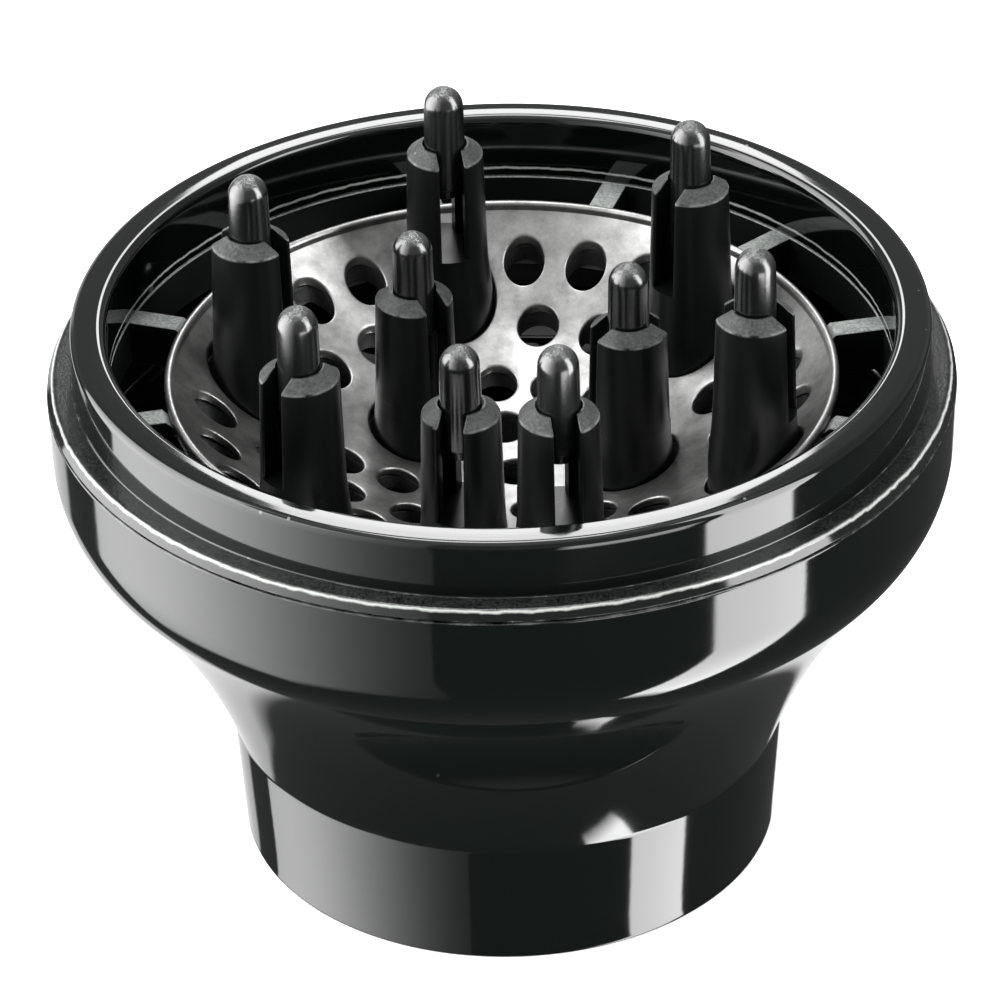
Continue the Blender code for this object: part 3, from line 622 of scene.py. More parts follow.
def perforated_cap(holes, edge, rim_radius, below, thickness, spacing, bead=0.0):
    """A cap of the sphere with upright holes. The two faces are the flat filling raised onto two spheres.
    Each hole's wall is a quarter round at the top, a straight part and a quarter round below, carried
    round the hole, and the rim is the same kind of line carried round the axis, rolled into a bead of
    the given radius where there is one."""
    start = rim_radius - 2.2 * edge - 1.2 * bead
    widened = [(centres, radius + edge, count) for centres, radius, count in holes]
    flat, faces = sheet_between(widened, start, spacing)
    sheets = [(lifted(flat, below), faces), (lifted(flat, below + thickness), faces[:, ::-1])]
    lean = np.linspace(0, pi / 2, 5)
    for centres, radius, count in holes:
        upper = [(radius + edge * (1 - sin(a)), -edge * (1 - cos(a)), below) for a in lean]
        lower = [(r, -drop, below + thickness) for r, drop, level in upper[::-1]]
        rows = []
        for wall, drop, level in upper + lower:
            row = lifted(ring_points(centres, wall, count), level)
            row[..., 2] += drop
            rows.append(row)
        rows = np.stack(rows, 1)
        sheets += [grid(rows[index]) for index in range(len(centres))]
    corners = [(start, cap_height(start, below), 0), (rim_radius, cap_height(rim_radius, below), edge)]
    if bead:
        top = cap_height(rim_radius, below) + bead
        side = bead * 0.9
        corners = [
            (start, cap_height(start, below), 0),
            (rim_radius - side, cap_height(rim_radius - side, below) + 0.1, 0.15),
            (rim_radius - side, top, side * 0.95),
            (rim_radius + side, top, side * 0.95),
            (rim_radius + side, top - 1.9 * bead, side * 0.6),
            (rim_radius, top - 1.9 * bead, 0.1),
        ]
    corners += [
        (rim_radius, cap_height(rim_radius, below + thickness), edge * 0.6),
        (start, cap_height(start, below + thickness), 0),
    ]
    sheets.append(turned(rounded(corners, closed=False, steps=6), 288, closed=False))
    return sheets


def hole_places():
    """Centres of the small holes in plan."""
    places = []
    for radius, sectors, angles in HOLE_CIRCLES:
        for sector in range(sectors):
            for angle in angles:
                turn = radians(HEAD_TURN + sector * 360 / sectors + angle)
                places.append((radius * cos(turn), radius * sin(turn)))
    return np.array(places)


def finger_places():
    """Angle, circle and tip height of each finger, the outer ones first."""
    outer = [(HEAD_TURN + index * 60, OUTER_CIRCLE, OUTER_TIP) for index in range(6)]
    inner = [(HEAD_TURN + 30 + index * 120, INNER_CIRCLE, INNER_TIP) for index in range(3)]
    return outer + inner


def finger_centres():
    """Centres of the fingers in plan."""
    turns = [(circle, radians(angle)) for angle, circle, _ in finger_places()]
    return np.array([(circle * cos(turn), circle * sin(turn)) for circle, turn in turns])


def finger_outline():
    """Radius and height of the finger's outer side, from the shoulder down to the seat's edge."""
    seat = -FINGER_LENGTH + SPIGOT_LENGTH
    corners = [
        (BORE_RADIUS, -6.2, 0), (BORE_RADIUS + 0.25, -6.2, 0.08), (5.6, -7.8, 0.75), (6.05, -24.8, 6.0),
        (6.6, -30.8, 6.0), (6.6, seat, 0.3), (4.4, seat, 0),
    ]
    return rounded(corners, closed=False, steps=6)


def prong_section(radius, edge, inner_edge):
    """Outline of one prong at each outer radius: outer arc, flat of the slot, bore arc and the other flat,
    with each corner rounded by an arc that touches both. A corner's centre lies on the slot's flat plus
    its radius, at the wall's radius less (outside) or plus (bore) the same."""
    radius = radius[:, None]
    edge = np.minimum(edge, 0.42 * (radius - BORE_RADIUS))
    inner_edge = np.minimum(inner_edge, 0.42 * (radius - BORE_RADIUS))
    half = pi / 2

    def corner(wall, size, side):
        """Angles at the axis and centre of a corner arc on the +X side."""
        y = SLOT_HALF + size
        distance = wall - size * side
        x = np.sqrt(np.maximum(distance**2 - y**2, 0))
        return x, y, np.arctan2(y, x)

    outer_x, outer_y, outer_turn = corner(radius, edge, 1)
    inner_x, inner_y, inner_turn = corner(BORE_RADIUS + 0 * radius, inner_edge, -1)
    share = np.linspace(0, 1, 5)[None, :]
    arc = outer_turn + (pi - 2 * outer_turn) * np.linspace(0, 1, 37)[None, :]
    outer = np.stack([radius * np.cos(arc), radius * np.sin(arc)], -1)
    lean = -half + (outer_turn + half) * share
    right = np.stack([outer_x + edge * np.cos(lean), outer_y + edge * np.sin(lean)], -1)
    lean = -half - (pi / 2 - inner_turn) * share
    foot = np.stack([inner_x + inner_edge * np.cos(lean), inner_y + inner_edge * np.sin(lean)], -1)
    bore_arc = inner_turn + (pi - 2 * inner_turn) * np.linspace(0, 1, 17)[None, :]
    bore = np.stack([BORE_RADIUS * np.cos(bore_arc), BORE_RADIUS * np.sin(bore_arc)], -1)
    flip = np.array([-1.0, 1.0])
    left = right[:, ::-1] * flip
    left_foot = foot[:, ::-1] * flip
    bore = bore[:, ::-1][:, :-1]
    return np.concatenate([right[:, :-1], outer[:, :-1], left, left_foot[:, :-1], bore, foot], 1)


def finger_sheets():
    """One finger body with its tip's centre at the origin: two prongs carried down the outer line, and a
    turned base below the slot."""
    line = finger_outline()
    upper = line[line[:, 1] > SLOT_FLOOR]
    at_floor = np.interp(-SLOT_FLOOR, -line[:, 1], line[:, 0])
    down_radius = np.linspace(upper[-1, 0], at_floor, 8)[1:]
    down_height = np.linspace(upper[-1, 1], SLOT_FLOOR, 8)[1:]
    radius = np.concatenate([upper[:, 0], down_radius, [at_floor - 0.4, BORE_RADIUS]])
    height = np.concatenate([upper[:, 1], down_height, [SLOT_FLOOR - 0.6, SLOT_FLOOR - 0.6]])
    section = prong_section(radius, 0.35, 0.2)
    prong = np.concatenate([section, np.broadcast_to(height[:, None, None], section[..., :1].shape)], -1)
    other = prong * np.array([-1.0, -1.0, 1.0])
    lower = line[line[:, 1] < SLOT_FLOOR - 0.01]
    seat = -FINGER_LENGTH + SPIGOT_LENGTH
    spigot = rounded([(4.4, seat, 0), (4.4, -FINGER_LENGTH, 0.4), (0.0, -FINGER_LENGTH, 0)], False, 3)
    base = np.concatenate([[(0.0, SLOT_FLOOR), (at_floor, SLOT_FLOOR)], lower, spigot])
    return [grid(prong), grid(other), turned(base, 96, closed=False)]


def pin_sheet():
    """One pin: an egg-shaped tip (r sin a, h cos a), a slightly drafted side and a stub below."""
    lean = np.linspace(0, pi / 2, 15)
    tip = np.stack([(PIN_RADIUS - 0.12) * np.sin(lean), PIN_RADIUS * np.cos(lean)], -1)
    side = [
        (PIN_RADIUS - 0.1, -0.8, 0), (PIN_RADIUS + 0.12, -13.0, 0.4), (2.2, -13.0, 0.1), (2.2, -14.6, 0.3),
        (0.0, -14.6, 0),
    ]
    return turned(np.concatenate([tip, rounded(side, closed=False, steps=4)]), 64, closed=False)


def cup_sheet(centre, seat):
    """A cup under the carrier: at each angle its wall climbs from the floor to the carrier's own height
    there, so that its top follows the cap."""
    turn = np.linspace(0, tau, 64, endpoint=False)
    around = np.stack([np.cos(turn), np.sin(turn)], -1)
    floor = seat - GAP
    bottom = floor - 2.6
    below = DISH_THICKNESS + CARRIER_CLEARANCE + 0.3

    def ring(radius, height):
        """A level circle."""
        return np.concatenate([centre + radius * around, np.full((64, 1), height)], -1)

    def top(radius, drop):
        """A circle that follows the cap."""
        return lifted(centre + radius * around, below + drop)

    rows = [
        ring(4.7, floor),
        ring(CUP_BORE - 0.2, floor),
        ring(CUP_BORE, floor + 0.2),
        top(CUP_BORE, 0.3),
        top(CUP_BORE + 0.2, 0.0),
        top(CUP_RADIUS - 0.2, 0.0),
        top(CUP_RADIUS, 0.3),
        ring(CUP_RADIUS, bottom + 0.5),
        ring(CUP_RADIUS - 0.15, bottom + 0.15),
        ring(CUP_RADIUS - 0.5, bottom),
        ring(5.0, bottom),
        ring(4.7, bottom + 0.3),
    ]
    return grid(np.stack(rows), wrap_rows=True)


# ---------------------------------------------------------------- shader nodes


def node(tree, kind, values=None, **settings):
    """A node with its properties set by name. `values` fills input sockets, from numbers or sockets."""
    made = tree.nodes.new(kind)
    for label, value in settings.items():
        setattr(made, label, value)
    for label, value in (values or {}).items():
        feed(tree, value, made.inputs[label])
    return made


def feed(tree, value, socket):
    """Links a socket to another one, or sets its own value."""
    if isinstance(value, bpy.types.NodeSocket):
        tree.links.new(value, socket)
    else:
        socket.default_value = value


def maths(tree, operation, *values, clamp=False):
    """A Math node fed by sockets or numbers."""
    made = node(tree, "ShaderNodeMath", operation=operation, use_clamp=clamp)
    for index, value in enumerate(values):
        feed(tree, value, made.inputs[index])
    return made.outputs[0]


def times(tree, first, second):
    """Product of two sockets or numbers."""
    return maths(tree, "MULTIPLY", first, second)


def plus(tree, first, second):
    """Sum of two sockets or numbers."""
    return maths(tree, "ADD", first, second)


def minus(tree, first, second):
    """Difference of two sockets or numbers."""
    return maths(tree, "SUBTRACT", first, second)


def noise(tree, vector, scale, detail=3.0, roughness=0.5):
    """Noise texture whose scale is a socket or a number."""
    values = {"Vector": vector, "Scale": scale, "Detail": detail, "Roughness": roughness}
    return node(tree, "ShaderNodeTexNoise", values).outputs["Fac"]


def ramp(tree, value, low_end, high_end, **settings):
    """Value mapped so that low_end gives 0 and high_end gives 1, held to that range."""
    values = {"Value": value, "From Min": low_end, "From Max": high_end}
    return node(tree, "ShaderNodeMapRange", values, **settings).outputs[0]


def mixed(tree, factor, first, second):
    """Colour mix of two colours or sockets by a factor socket."""
    made = node(tree, "ShaderNodeMix", {"Factor": factor}, data_type="RGBA")
    for label, value in (("A", first), ("B", second)):
        socket = [item for item in made.inputs if item.name == label and item.type == "RGBA"][0]
        feed(tree, value if isinstance(value, bpy.types.NodeSocket) else (*value, 1.0), socket)
    return [item for item in made.outputs if item.type == "RGBA"][0]


def shader_mix(tree, factor, first, second, result):
    """Two shaders mixed by a factor into an output's socket."""
    mix = node(tree, "ShaderNodeMixShader")
    for index, socket in enumerate((factor, first, second)):
        tree.links.new(socket, mix.inputs[index])
    tree.links.new(mix.outputs[0], result)


def axes(tree, vector):
    """The X, Y and Z sockets of a vector."""
    return node(tree, "ShaderNodeSeparateXYZ", {"Vector": vector}).outputs


def position(tree):
    """The object's own coordinates, in metres."""
    return node(tree, "ShaderNodeTexCoord").outputs["Object"]


def upward(tree):
    """How far a face looks upward: the Z of its normal."""
    return axes(tree, node(tree, "ShaderNodeNewGeometry").outputs["Normal"])["Z"]


def new_group(name, inputs, outputs):
    """A shader node group of plain numbers, with its input values by name and its outputs' names."""
    tree = bpy.data.node_groups.new(name, "ShaderNodeTree")
    for label, value in inputs.items():
        socket = tree.interface.new_socket(label, in_out="INPUT", socket_type="NodeSocketFloat")
        socket.default_value = value
    for label in outputs:
        tree.interface.new_socket(label, in_out="OUTPUT", socket_type="NodeSocketFloat")
    return tree, tree.nodes.new("NodeGroupInput").outputs, tree.nodes.new("NodeGroupOutput").inputs


def spark_grain(name):
    """Fine pitted grain that a spark-eroded mould leaves on faces that look upward. The last output is a
    painted highlight band on the slopes just below them, where a rounded edge would reflect the top light.
    """
    inputs = {"Scale": 2600.0, "From": 0.55, "To": 0.75, "Flats": 1.0}
    tree, given, result = new_group(name, inputs, ("Faces", "Speckle", "Height", "Painted rim highlight"))
    place = position(tree)
    up = upward(tree)
    faces = ramp(tree, up, given["From"], given["To"], interpolation_type="SMOOTHSTEP")
    level = times(tree, ramp(tree, up, 0.88, 0.96), minus(tree, 1.0, given["Flats"]))
    faces = times(tree, faces, minus(tree, 1.0, level))
    # Painted highlight: a band on slopes that look partly upward, standing in for the top light's reflection
    # on a rounded shoulder
    rising = times(tree, ramp(tree, up, 0.1, 0.35), ramp(tree, up, 0.72, 0.5))
    fine = noise(tree, place, given["Scale"], 2.0, 0.6)
    coarse = noise(tree, place, times(tree, given["Scale"], 0.23), 2.0)
    speckle = ramp(tree, plus(tree, times(tree, fine, 0.7), times(tree, coarse, 0.3)), 0.38, 0.62)
    feed(tree, faces, result["Faces"])
    feed(tree, speckle, result["Speckle"])
    feed(tree, times(tree, speckle, faces), result["Height"])
    feed(tree, times(tree, rising, ramp(tree, coarse, 0.35, 0.6)), result["Painted rim highlight"])
    return tree


def painted_highlight_line(name):
    """A thin broken line at one height, painted lighter as a highlight along an edge where light would catch.
    """
    inputs = {"Level": 0.0755, "Half width": 0.0003, "Breaks": 0.5}
    tree, given, result = new_group(name, inputs, ("Mask",))
    place = position(tree)
    wobble = times(tree, minus(tree, noise(tree, place, 420.0, 3.0, 0.6), 0.5), 0.0006)
    height = minus(tree, axes(tree, place)["Z"], given["Level"])
    away = maths(tree, "ABSOLUTE", plus(tree, height, wobble))
    line = maths(tree, "SUBTRACT", 1.0, maths(tree, "DIVIDE", away, given["Half width"]), clamp=True)
    least = times(tree, given["Breaks"], 0.8)
    made = ramp(tree, noise(tree, place, 160.0, 4.0, 0.65), least, plus(tree, least, 0.16))
    feed(tree, times(tree, line, made), result["Mask"])
    return tree


def handling_marks(name):
    """Faint haze and hairline variation of gloss, as on a piece that has been handled and wiped."""
    inputs = {"Base": 0.1, "Amount": 0.04, "Scale": 60.0}
    tree, given, result = new_group(name, inputs, ("Roughness", "Height"))
    place = position(tree)
    broad = ramp(tree, noise(tree, place, given["Scale"], 4.0, 0.6), 0.42, 0.75)
    fine = noise(tree, place, times(tree, given["Scale"], 14.0), 3.0, 0.6)
    haze = times(tree, plus(tree, broad, times(tree, fine, 0.4)), given["Amount"])
    feed(tree, plus(tree, given["Base"], haze), result["Roughness"])
    feed(tree, fine, result["Height"])
    return tree


def dust_specks(name):
    """Sparse pale specks that settle on faces that look upward."""
    tree, given, result = new_group(name, {"Density": 0.5, "Scale": 700.0}, ("Mask",))
    cells = node(tree, "ShaderNodeTexVoronoi", {"Vector": position(tree), "Scale": given["Scale"]}).outputs
    speck = ramp(tree, cells["Distance"], 0.16, 0.08)
    chosen = node(tree, "ShaderNodeSeparateColor")
    tree.links.new(cells["Color"], chosen.inputs[0])
    some = maths(tree, "GREATER_THAN", given["Density"], chosen.outputs[0])
    feed(tree, times(tree, times(tree, speck, some), ramp(tree, upward(tree), 0.1, 0.6)), result["Mask"])
    return tree


def effect(tree, maker, **values):
    """Outputs of a shared node group placed in a material with its own values. The group is built the
    first time it is asked for."""
    name = maker.__name__.replace("_", " ").capitalize()
    made = tree.nodes.new("ShaderNodeGroup")
    made.node_tree = bpy.data.node_groups.get(name) or maker(name)
    for label, value in values.items():
        made.inputs[label.replace("_", " ")].default_value = value
    return made.outputs


# ---------------------------------------------------------------- materials


def scaled(colour_parts, factor):
    """A colour made lighter or darker."""
    return tuple(factor * part for part in colour_parts)


def new_material(name, metallic=0.0):
    """A material, its node tree and the inputs of its Principled shader."""
    material = bpy.data.materials.new(name)
    material.use_nodes = True
    shader = material.node_tree.nodes["Principled BSDF"].inputs
    shader["Metallic"].default_value = metallic
    shader["IOR"].default_value = PLASTIC_IOR
    return material, material.node_tree, shader


def finish(tree, shader, tint, rough, height, strength, distance):
    """Feeds colour, roughness and a bump of this strength and depth to the shader."""
    relief = node(tree, "ShaderNodeBump", {"Height": height, "Strength": strength, "Distance": distance})
    tree.links.new(tint, shader["Base Color"])
    tree.links.new(rough, shader["Roughness"])
    tree.links.new(relief.outputs[0], shader["Normal"])


def polished_plastic(name, grained_shelf):
    """Polished black moulding: hardly any haze, a painted highlight line along the seam and a few specks of
    dust. The ring's shelf is grained and its edge carries a painted highlight line as well."""
    colours = bpy.context.scene.diffuser_colours
    material, tree, shader = new_material(name)
    marks = effect(tree, handling_marks, Base=0.045, Amount=0.03, Scale=38.0)
    # Painted highlight: a light broken line along the seam between shell and ring, where the shell's rim edge
    # would catch the light; the line is also rougher
    seam_height = (RIM_HEIGHT + GAP / 2) * MM
    seam = effect(tree, painted_highlight_line, Level=seam_height, Half_width=0.0003, Breaks=0.5)["Mask"]
    specks = effect(tree, dust_specks, Density=0.05, Scale=520.0)["Mask"]
    tint = mixed(tree, seam, colours.gloss, colours.seam)
    tint = mixed(tree, times(tree, specks, 0.35), tint, (0.35, 0.35, 0.34))
    rough = plus(tree, marks["Roughness"], times(tree, seam, 0.4))
    if not grained_shelf:
        finish(tree, shader, tint, rough, marks["Height"], 0.03, 0.0001)
        return material
    # Painted highlight: a light line along the shelf's bead, where the bead's round would reflect the back
    # light
    edge = effect(tree, painted_highlight_line, Level=(SHELF - 0.25) * MM, Half_width=0.00028, Breaks=0.12)["Mask"]
    tint = mixed(tree, edge, tint, scaled(colours.seam, 3.0))
    grain = effect(tree, spark_grain, Scale=2100.0, From=0.8, To=0.97)
    shelf = ramp(tree, axes(tree, position(tree))["Z"], (SHELF + 0.4) * MM, (SHELF + 0.2) * MM)
    faces = times(tree, shelf, grain["Faces"])
    tone = mixed(tree, grain["Speckle"], colours.gloss, scaled(colours.grain, 0.4))
    rough = plus(tree, rough, times(tree, faces, 0.16))
    height = times(tree, grain["Speckle"], faces)
    finish(tree, shader, mixed(tree, faces, tint, tone), rough, height, 0.3, 0.00004)
    return material


def grained_plastic(name, base_colour, grain_tone, base, grained, scale, facing, depth, flats=1.0, level=0.5):
    """Black moulding: satin sides, spark-grained upward faces and, when flats is below 1, a painted highlight
    band.
    """
    material, tree, shader = new_material(name)
    shader["Specular IOR Level"].default_value = level
    grain = effect(tree, spark_grain, Scale=scale, From=facing[0], To=facing[1], Flats=flats)
    marks = effect(tree, handling_marks, Base=base, Amount=0.08, Scale=120.0)
    specks = effect(tree, dust_specks, Density=0.04, Scale=640.0)["Mask"]
    tone = mixed(tree, grain["Speckle"], scaled(grain_tone, 0.45), grain_tone)
    tint = mixed(tree, grain["Faces"], base_colour, tone)
    # Painted highlight: lighter tone on the slopes below the grained faces, where the shoulder's round would
    # reflect the top light
    tint = mixed(tree, times(tree, grain["Painted rim highlight"], 1.0 - flats), tint, scaled(grain_tone, 2.2))
    tint = mixed(tree, times(tree, specks, 0.3), tint, (0.4, 0.4, 0.39))
    rough = plus(tree, marks["Roughness"], times(tree, grain["Faces"], grained - base))
    height = plus(tree, grain["Height"], times(tree, marks["Height"], 0.15))
    finish(tree, shader, tint, rough, height, 0.6, depth)
    return material


def satin_metal():
    """Bead-blasted metal: fine even grain, slightly uneven brightness and soft gloss."""
    metal = bpy.context.scene.diffuser_colours.metal
    material, tree, shader = new_material("satin_metal_look", metallic=1.0)
    place = position(tree)
    marks = effect(tree, handling_marks, Base=0.36, Amount=0.08, Scale=70.0)
    cloud = ramp(tree, noise(tree, place, 260.0, 8.0, 0.72), 0.36, 0.62)
    pits = noise(tree, place, 2400.0, 2.0, 0.6)
    tint = mixed(tree, cloud, scaled(metal, 0.6), metal)
    finish(tree, shader, tint, marks["Roughness"], pits, 0.35, 0.00003)
    return material


# ---------------------------------------------------------------- operators


class DIFFUSER_OT_outer_shell(bpy.types.Operator):
    """Build the polished shell: collar, flared neck with its scoops, and bowl wall"""

    bl_idname = "diffuser.outer_shell"
    bl_label = "Outer shell"

    def execute(self, context):
        depth = context.scene.diffuser_sizes.scoop_depth / MM
        material = polished_plastic("shell_gloss_look", False)
        piece("shell_moulding", [shell_surface(depth)], material, nodes=["outer_shell"])
        return {"FINISHED"}


class DIFFUSER_OT_top_ring(bpy.types.Operator):
    """Build the polished lip with its wall, shelf and skirt"""

    bl_idname = "diffuser.top_ring"
    bl_label = "Top ring"

    def execute(self, context):
        sizes = context.scene.diffuser_sizes
        material = polished_plastic("ring_gloss_look", True)
        sheet = ring_surface(sizes.lip_round / MM, sizes.turn_steps)
        piece("lip_ring", [sheet], material, nodes=["top_ring"])
        return {"FINISHED"}


class DIFFUSER_OT_spoke_frame(bpy.types.Operator):
    """Build the twelve grained spokes and their two hoops"""

    bl_idname = "diffuser.spoke_frame"
    bl_label = "Spoke frame"

    def execute(self, context):
        colours = context.scene.diffuser_colours
        tone = scaled(colours.grain, 5.0)
        material = grained_plastic(
            "spoke_black_look", colours.satin, tone, 0.32, 0.5, 2300.0, (0.35, 0.6), 0.00006, level=0.3
        )
        sheets = spoke_sheets() + hoop_sheets(context.scene.diffuser_sizes.turn_steps)
        piece("spoke_web", sheets, material, nodes=["spoke_frame"])
        return {"FINISHED"}


class DIFFUSER_OT_dish(bpy.types.Operator):
    """Build the satin metal dish with its drawn hole edges"""

    bl_idname = "diffuser.dish"
    bl_label = "Dish"

    def execute(self, context):
        sizes = context.scene.diffuser_sizes
        holes = [(hole_places(), sizes.perforation_radius / MM, 44), (finger_centres(), FINGER_HOLE, 80)]
        sheets = perforated_cap(holes, sizes.hole_edge / MM, DISH_RADIUS, 0.0, DISH_THICKNESS, 1.5, DISH_BEAD)
        piece("dish_sheet", sheets, satin_metal(), nodes=["dish_plate"])
        return {"FINISHED"}


class DIFFUSER_OT_fingers(bpy.types.Operator):
    """Build the nine slotted fingers and their pins"""

    bl_idname = "diffuser.fingers"
    bl_label = "Fingers and pins"

    def execute(self, context):
        colours = context.scene.diffuser_colours
        black = grained_plastic(
            "finger_black_look", colours.satin, tuple(colours.grain), 0.3, 0.45, 2300.0, (0.45, 0.7), 0.00006,
            flats=0.0, level=0.22,
        )
        tone = scaled(colours.grain, 0.8)
        glossy = grained_plastic(
            "pin_black_look", colours.pin, tone, 0.17, 0.24, 2000.0, (0.5, 0.95), 0.00014, level=0.95
        )
        body = finger_sheets()
        pin = pin_sheet()
        for number, (angle, circle, tip) in enumerate(finger_places(), start=1):
            sheets = [placed(sheet, angle, circle, tip) for sheet in body]
            piece(f"finger_{number}", sheets, black, nodes=[f"finger_body_{number}"])
            sheets = [placed(pin, angle, circle, tip)]
            piece(f"pin_{number}", sheets, glossy, nodes=[f"finger_pin_{number}"])
        return {"FINISHED"}


class DIFFUSER_OT_carrier(bpy.types.Operator):
    """Build the moulded cap and cups that hold the fingers"""

    bl_idname = "diffuser.carrier"
    bl_label = "Finger carrier"

    def execute(self, context):
        colours = context.scene.diffuser_colours
        tone = scaled(colours.grain, 0.4)
        material = grained_plastic(
            "inner_black_look", colours.satin, tone, 0.42, 0.55, 1700.0, ALL_FACES, 0.00005
        )
        below = DISH_THICKNESS + CARRIER_CLEARANCE
        holes = [(hole_places(), 3.5, 32), (finger_centres(), CUP_RADIUS - 0.7, 48)]
        sheets = perforated_cap(holes, 0.25, CARRIER_RADIUS, below, CARRIER_THICKNESS, 2.2)
        for centre, (_, _, tip) in zip(finger_centres(), finger_places()):
            sheets.append(cup_sheet(centre, tip - FINGER_LENGTH + SPIGOT_LENGTH))
        piece("carrier_moulding", sheets, material, nodes=["finger_carrier"])
        return {"FINISHED"}


class DIFFUSER_OT_deflector(bpy.types.Operator):
    """Build the cone that turns the air outward"""

    bl_idname = "diffuser.deflector"
    bl_label = "Air deflector"

    def execute(self, context):
        material = bpy.data.materials["inner_black_look"]
        brim = DEFLECTOR_BOTTOM + 8.6
        stem = 2.6
        corners = [
            (0.0, DEFLECTOR_TOP, 0), (stem, DEFLECTOR_TOP, 0.3), (stem, brim - 3.8, 1.5),
            (BRIM_RADIUS - 1.6, brim, 0.3), (BRIM_RADIUS, brim, 0.4), (BRIM_RADIUS, brim - 1.6, 0.7),
            (0.0, DEFLECTOR_BOTTOM, 0),
        ]
        sheet = turned(rounded(corners, closed=False), 160, closed=False)
        piece("deflector_cone", [sheet], material, nodes=["air_deflector"])
        return {"FINISHED"}


class DIFFUSER_OT_grip_ring(bpy.types.Operator):
    """Build the soft ribbed ring in the collar"""

    bl_idname = "diffuser.grip_ring"
    bl_label = "Barrel grip ring"

    def execute(self, context):
        rubber = tuple(context.scene.diffuser_colours.rubber)
        material = grained_plastic(
            "soft_black_look", rubber, rubber, 0.62, 0.7, 1500.0, ALL_FACES, 0.00008
        )
        inner = GRIP_RADIUS - 1.9
        pitch = (GRIP_TOP - GRIP_BOTTOM) / 4
        corners = [
            (inner, GRIP_TOP, 0.4), (GRIP_RADIUS, GRIP_TOP, 0.3), (GRIP_RADIUS, GRIP_BOTTOM, 0.3),
            (inner, GRIP_BOTTOM, 0.4),
        ]
        for index in (1, 2, 3):
            height = GRIP_BOTTOM + index * pitch
            corners += [(inner, height - 0.6, 0.1), (inner - 0.6, height, 0.2), (inner, height + 0.6, 0.1)]
        sheet = turned(rounded(corners, steps=3), 200)
        piece("grip_sleeve", [sheet], material, nodes=["barrel_grip_ring"])
        return {"FINISHED"}


def area_light(name, place, target, width, height, radiance):
    """A rectangular area light whose face shows the given radiance: power is pi x area x radiance."""
    light = bpy.data.lights.new(name, "AREA")
    light.shape = "RECTANGLE"
    light.size = width
    light.size_y = height
    light.energy = pi * width * height * radiance
    lamp = bpy.data.objects.new(name, light)
    lamp.location = place
    lamp.rotation_euler = (Vector(target) - Vector(place)).to_track_quat("-Z", "Y").to_euler()
    lamp.visible_camera = False
    bpy.context.scene.collection.objects.link(lamp)


def aimed(azimuth, elevation, distance, height):
    """A point in this direction from the axis at a height. Azimuth 0 is the front, 90 the right side."""
    turn = radians(azimuth)
    rise = radians(elevation)
    flat = distance * cos(rise)
    return (flat * sin(turn), -flat * cos(turn), distance * sin(rise) + height)


def panel_mask(tree, azimuth, elevation, edges, side, level):
    """1 inside a window of directions and 0 outside, with soft edges."""
    left, right, bottom, top = edges
    mask = ramp(tree, azimuth, left - side, left + side)
    for value, low_end, high_end in (
        (azimuth, right + side, right - side),
        (elevation, bottom - level, bottom + level),
        (elevation, top + level, top - level),
    ):
        mask = times(tree, mask, ramp(tree, value, low_end, high_end))
    return mask


def studio_world(scene):
    """White behind, and soft panels round the object for everything but the camera's own view."""
    world = bpy.data.worlds.new("studio")
    scene.world = world
    world.use_nodes = True
    tree = world.node_tree
    white = (1.0, 1.0, 1.0, 1.0)
    backdrop = tree.nodes["Background"]
    backdrop.inputs["Color"].default_value = white
    ray = axes(tree, node(tree, "ShaderNodeTexCoord").outputs["Generated"])
    azimuth = maths(tree, "DEGREES", maths(tree, "ARCTAN2", ray["X"], times(tree, ray["Y"], -1.0)))
    elevation = maths(tree, "DEGREES", maths(tree, "ARCSINE", ray["Z"]))
    total = AMBIENT
    for *edges, side, level, radiance in PANELS:
        mask = panel_mask(tree, azimuth, elevation, edges, side, level)
        total = plus(tree, times(tree, mask, radiance), total)
    away = maths(tree, "DIVIDE", minus(tree, azimuth, SOFTBOX_CENTRE), SOFTBOX_SPREAD)
    fall = maths(tree, "EXPONENT", times(tree, times(tree, away, away), -0.5))
    climb = {"Value": elevation, "From Min": -62.0, "From Max": -10.0, "To Min": 0.2, "To Max": 1.3}
    lit = times(tree, fall, node(tree, "ShaderNodeMapRange", climb).outputs[0])
    past = maths(tree, "MAXIMUM", minus(tree, -90.0, azimuth), 0.0)
    rising = minus(tree, elevation, times(tree, past, SOFTBOX_SLANT))
    window = panel_mask(tree, azimuth, rising, SOFTBOX, 0.5, 2.0)
    total = plus(tree, times(tree, times(tree, lit, SOFTBOX_PEAK), window), total)
    studio = node(tree, "ShaderNodeBackground", {"Color": white, "Strength": total})
    seen = node(tree, "ShaderNodeLightPath").outputs["Is Camera Ray"]
    result = tree.nodes["World Output"].inputs["Surface"]
    shader_mix(tree, seen, studio.outputs[0], backdrop.outputs[0], result)


def pale_floor(scene, tint):
    """A floor that lights the object but isn't mirrored in it, and is clear from below."""
    side = FLOOR_HALF
    mesh = bpy.data.meshes.new("floor")
    corners = [(-side, -side, 0), (side, -side, 0), (side, side, 0), (-side, side, 0)]
    mesh.from_pydata(corners, [], [(0, 1, 2, 3)])
    material, tree, shader = new_material("pale_floor")
    shader["Base Color"].default_value = (*tint, 1.0)
    shader["Roughness"].default_value = 0.9
    shader["Emission Color"].default_value = (1.0, 1.0, 1.0, 1.0)
    shader["Emission Strength"].default_value = FLOOR_GLOW
    solid = tree.nodes["Principled BSDF"].outputs[0]
    clear = node(tree, "ShaderNodeBsdfTransparent").outputs[0]
    behind = node(tree, "ShaderNodeNewGeometry").outputs["Backfacing"]
    shader_mix(tree, behind, solid, clear, tree.nodes["Material Output"].inputs["Surface"])
    mesh.materials.append(material)
    floor = bpy.data.objects.new("floor", mesh)
    scene.collection.objects.link(floor)
    floor.visible_glossy = False
    floor.visible_shadow = False


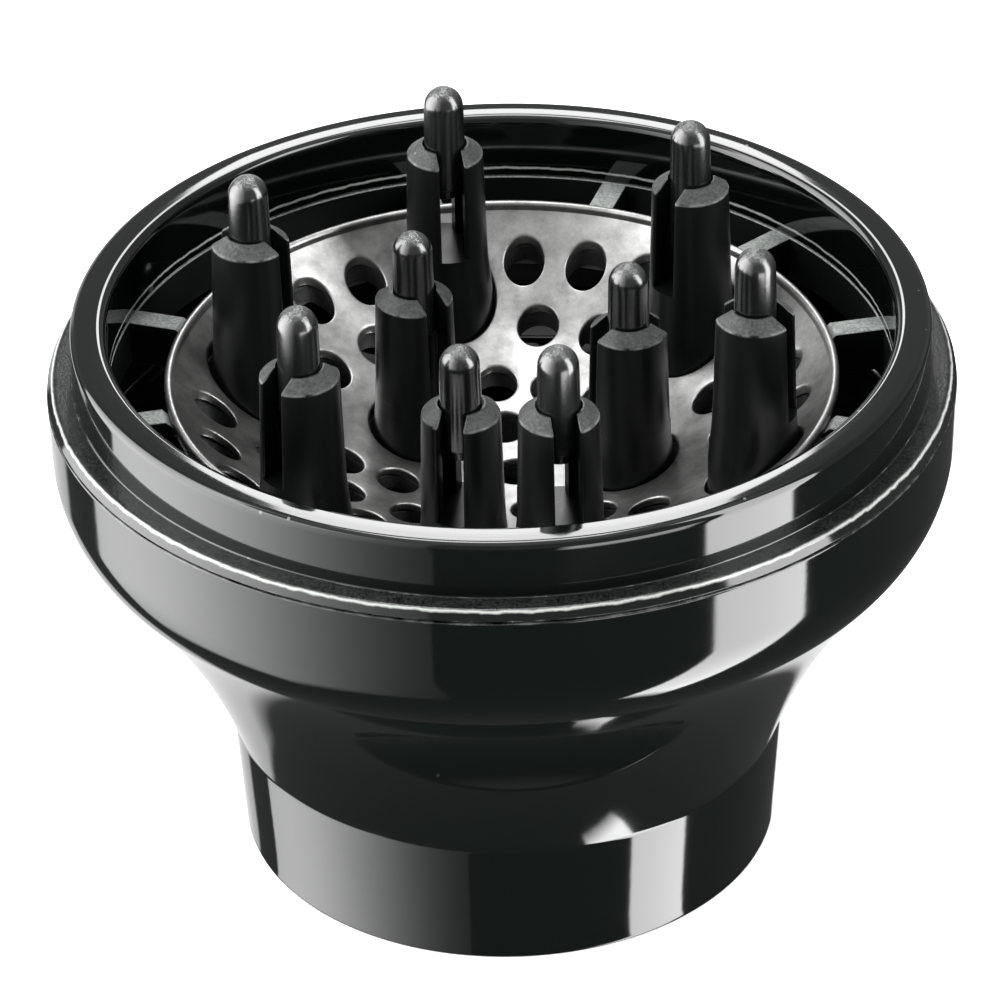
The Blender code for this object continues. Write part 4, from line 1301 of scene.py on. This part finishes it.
def place_camera(scene):
    """The camera looks along its azimuth and elevation at a point, and leans by its roll."""
    camera = bpy.data.cameras.new("camera")
    camera.sensor_width = 36.0
    camera.lens = CAMERA_LENS
    camera.clip_start = 0.05
    camera.clip_end = 50.0
    holder = bpy.data.objects.new("camera", camera)
    scene.collection.objects.link(holder)
    roll = radians(CAMERA_ROLL)
    azimuth = radians(CAMERA_AZIMUTH)
    back = Vector(aimed(CAMERA_AZIMUTH, CAMERA_ELEVATION, 1.0, 0.0))
    right = Vector((cos(azimuth), sin(azimuth), 0.0))
    up = back.cross(right)
    across = right * cos(roll) + up * sin(roll)
    along = up * cos(roll) - right * sin(roll)
    turn = Matrix((across, along, back)).transposed()
    holder.matrix_world = Matrix.Translation(Vector(CAMERA_AIM) + back * CAMERA_DISTANCE) @ turn.to_4x4()
    scene.camera = holder


class DIFFUSER_OT_stage(bpy.types.Operator):
    """Set the pale floor, the studio lights and the camera"""

    bl_idname = "diffuser.stage"
    bl_label = "Stage, lights and camera"

    def execute(self, context):
        scene = context.scene
        pale_floor(scene, scene.diffuser_colours.floor)
        studio_world(scene)
        lip = (0.0, 0.0, RING_TOP * MM)
        area_light("back_softbox", aimed(178.2, 35.6, 0.5, lip[2]), lip, 0.120, 0.170, 10.0)
        middle = (0.0, 0.0, MIDDLE_HEIGHT)
        area_light("top_softbox", aimed(180, 71, 1.4, MIDDLE_HEIGHT), middle, 0.50, 0.50, 12.0)
        place_camera(scene)
        scene.view_settings.view_transform = "Standard"
        return {"FINISHED"}


STEPS = (
    DIFFUSER_OT_stage,
    DIFFUSER_OT_outer_shell,
    DIFFUSER_OT_top_ring,
    DIFFUSER_OT_spoke_frame,
    DIFFUSER_OT_dish,
    DIFFUSER_OT_fingers,
    DIFFUSER_OT_carrier,
    DIFFUSER_OT_deflector,
    DIFFUSER_OT_grip_ring,
)


class DIFFUSER_PT_panel(bpy.types.Panel):
    """Lists the sizes, the colours and the steps that build the diffuser"""

    bl_idname = "DIFFUSER_PT_panel"
    bl_label = "Diffuser"
    bl_space_type = "VIEW_3D"
    bl_region_type = "UI"
    bl_category = "Diffuser"

    def draw(self, context):
        layout = self.layout
        for group in (context.scene.diffuser_sizes, context.scene.diffuser_colours):
            for label in group.__annotations__:
                layout.prop(group, label)
        for step in STEPS:
            layout.operator(step.bl_idname)


CLASSES = (DiffuserSizes, DiffuserColours, *STEPS, DIFFUSER_PT_panel)


def register():
    """Add the classes and the scene's two groups of settings."""
    for kind in CLASSES:
        bpy.utils.register_class(kind)
    bpy.types.Scene.diffuser_sizes = PointerProperty(type=DiffuserSizes)
    bpy.types.Scene.diffuser_colours = PointerProperty(type=DiffuserColours)


def unregister():
    """Take away what register added, in the opposite order."""
    del bpy.types.Scene.diffuser_colours
    del bpy.types.Scene.diffuser_sizes
    for kind in reversed(CLASSES):
        bpy.utils.unregister_class(kind)


def main():
    register()
    for step in STEPS:
        group, name = step.bl_idname.split(".")
        getattr(getattr(bpy.ops, group), name)()


if __name__ == "__main__":
    main()
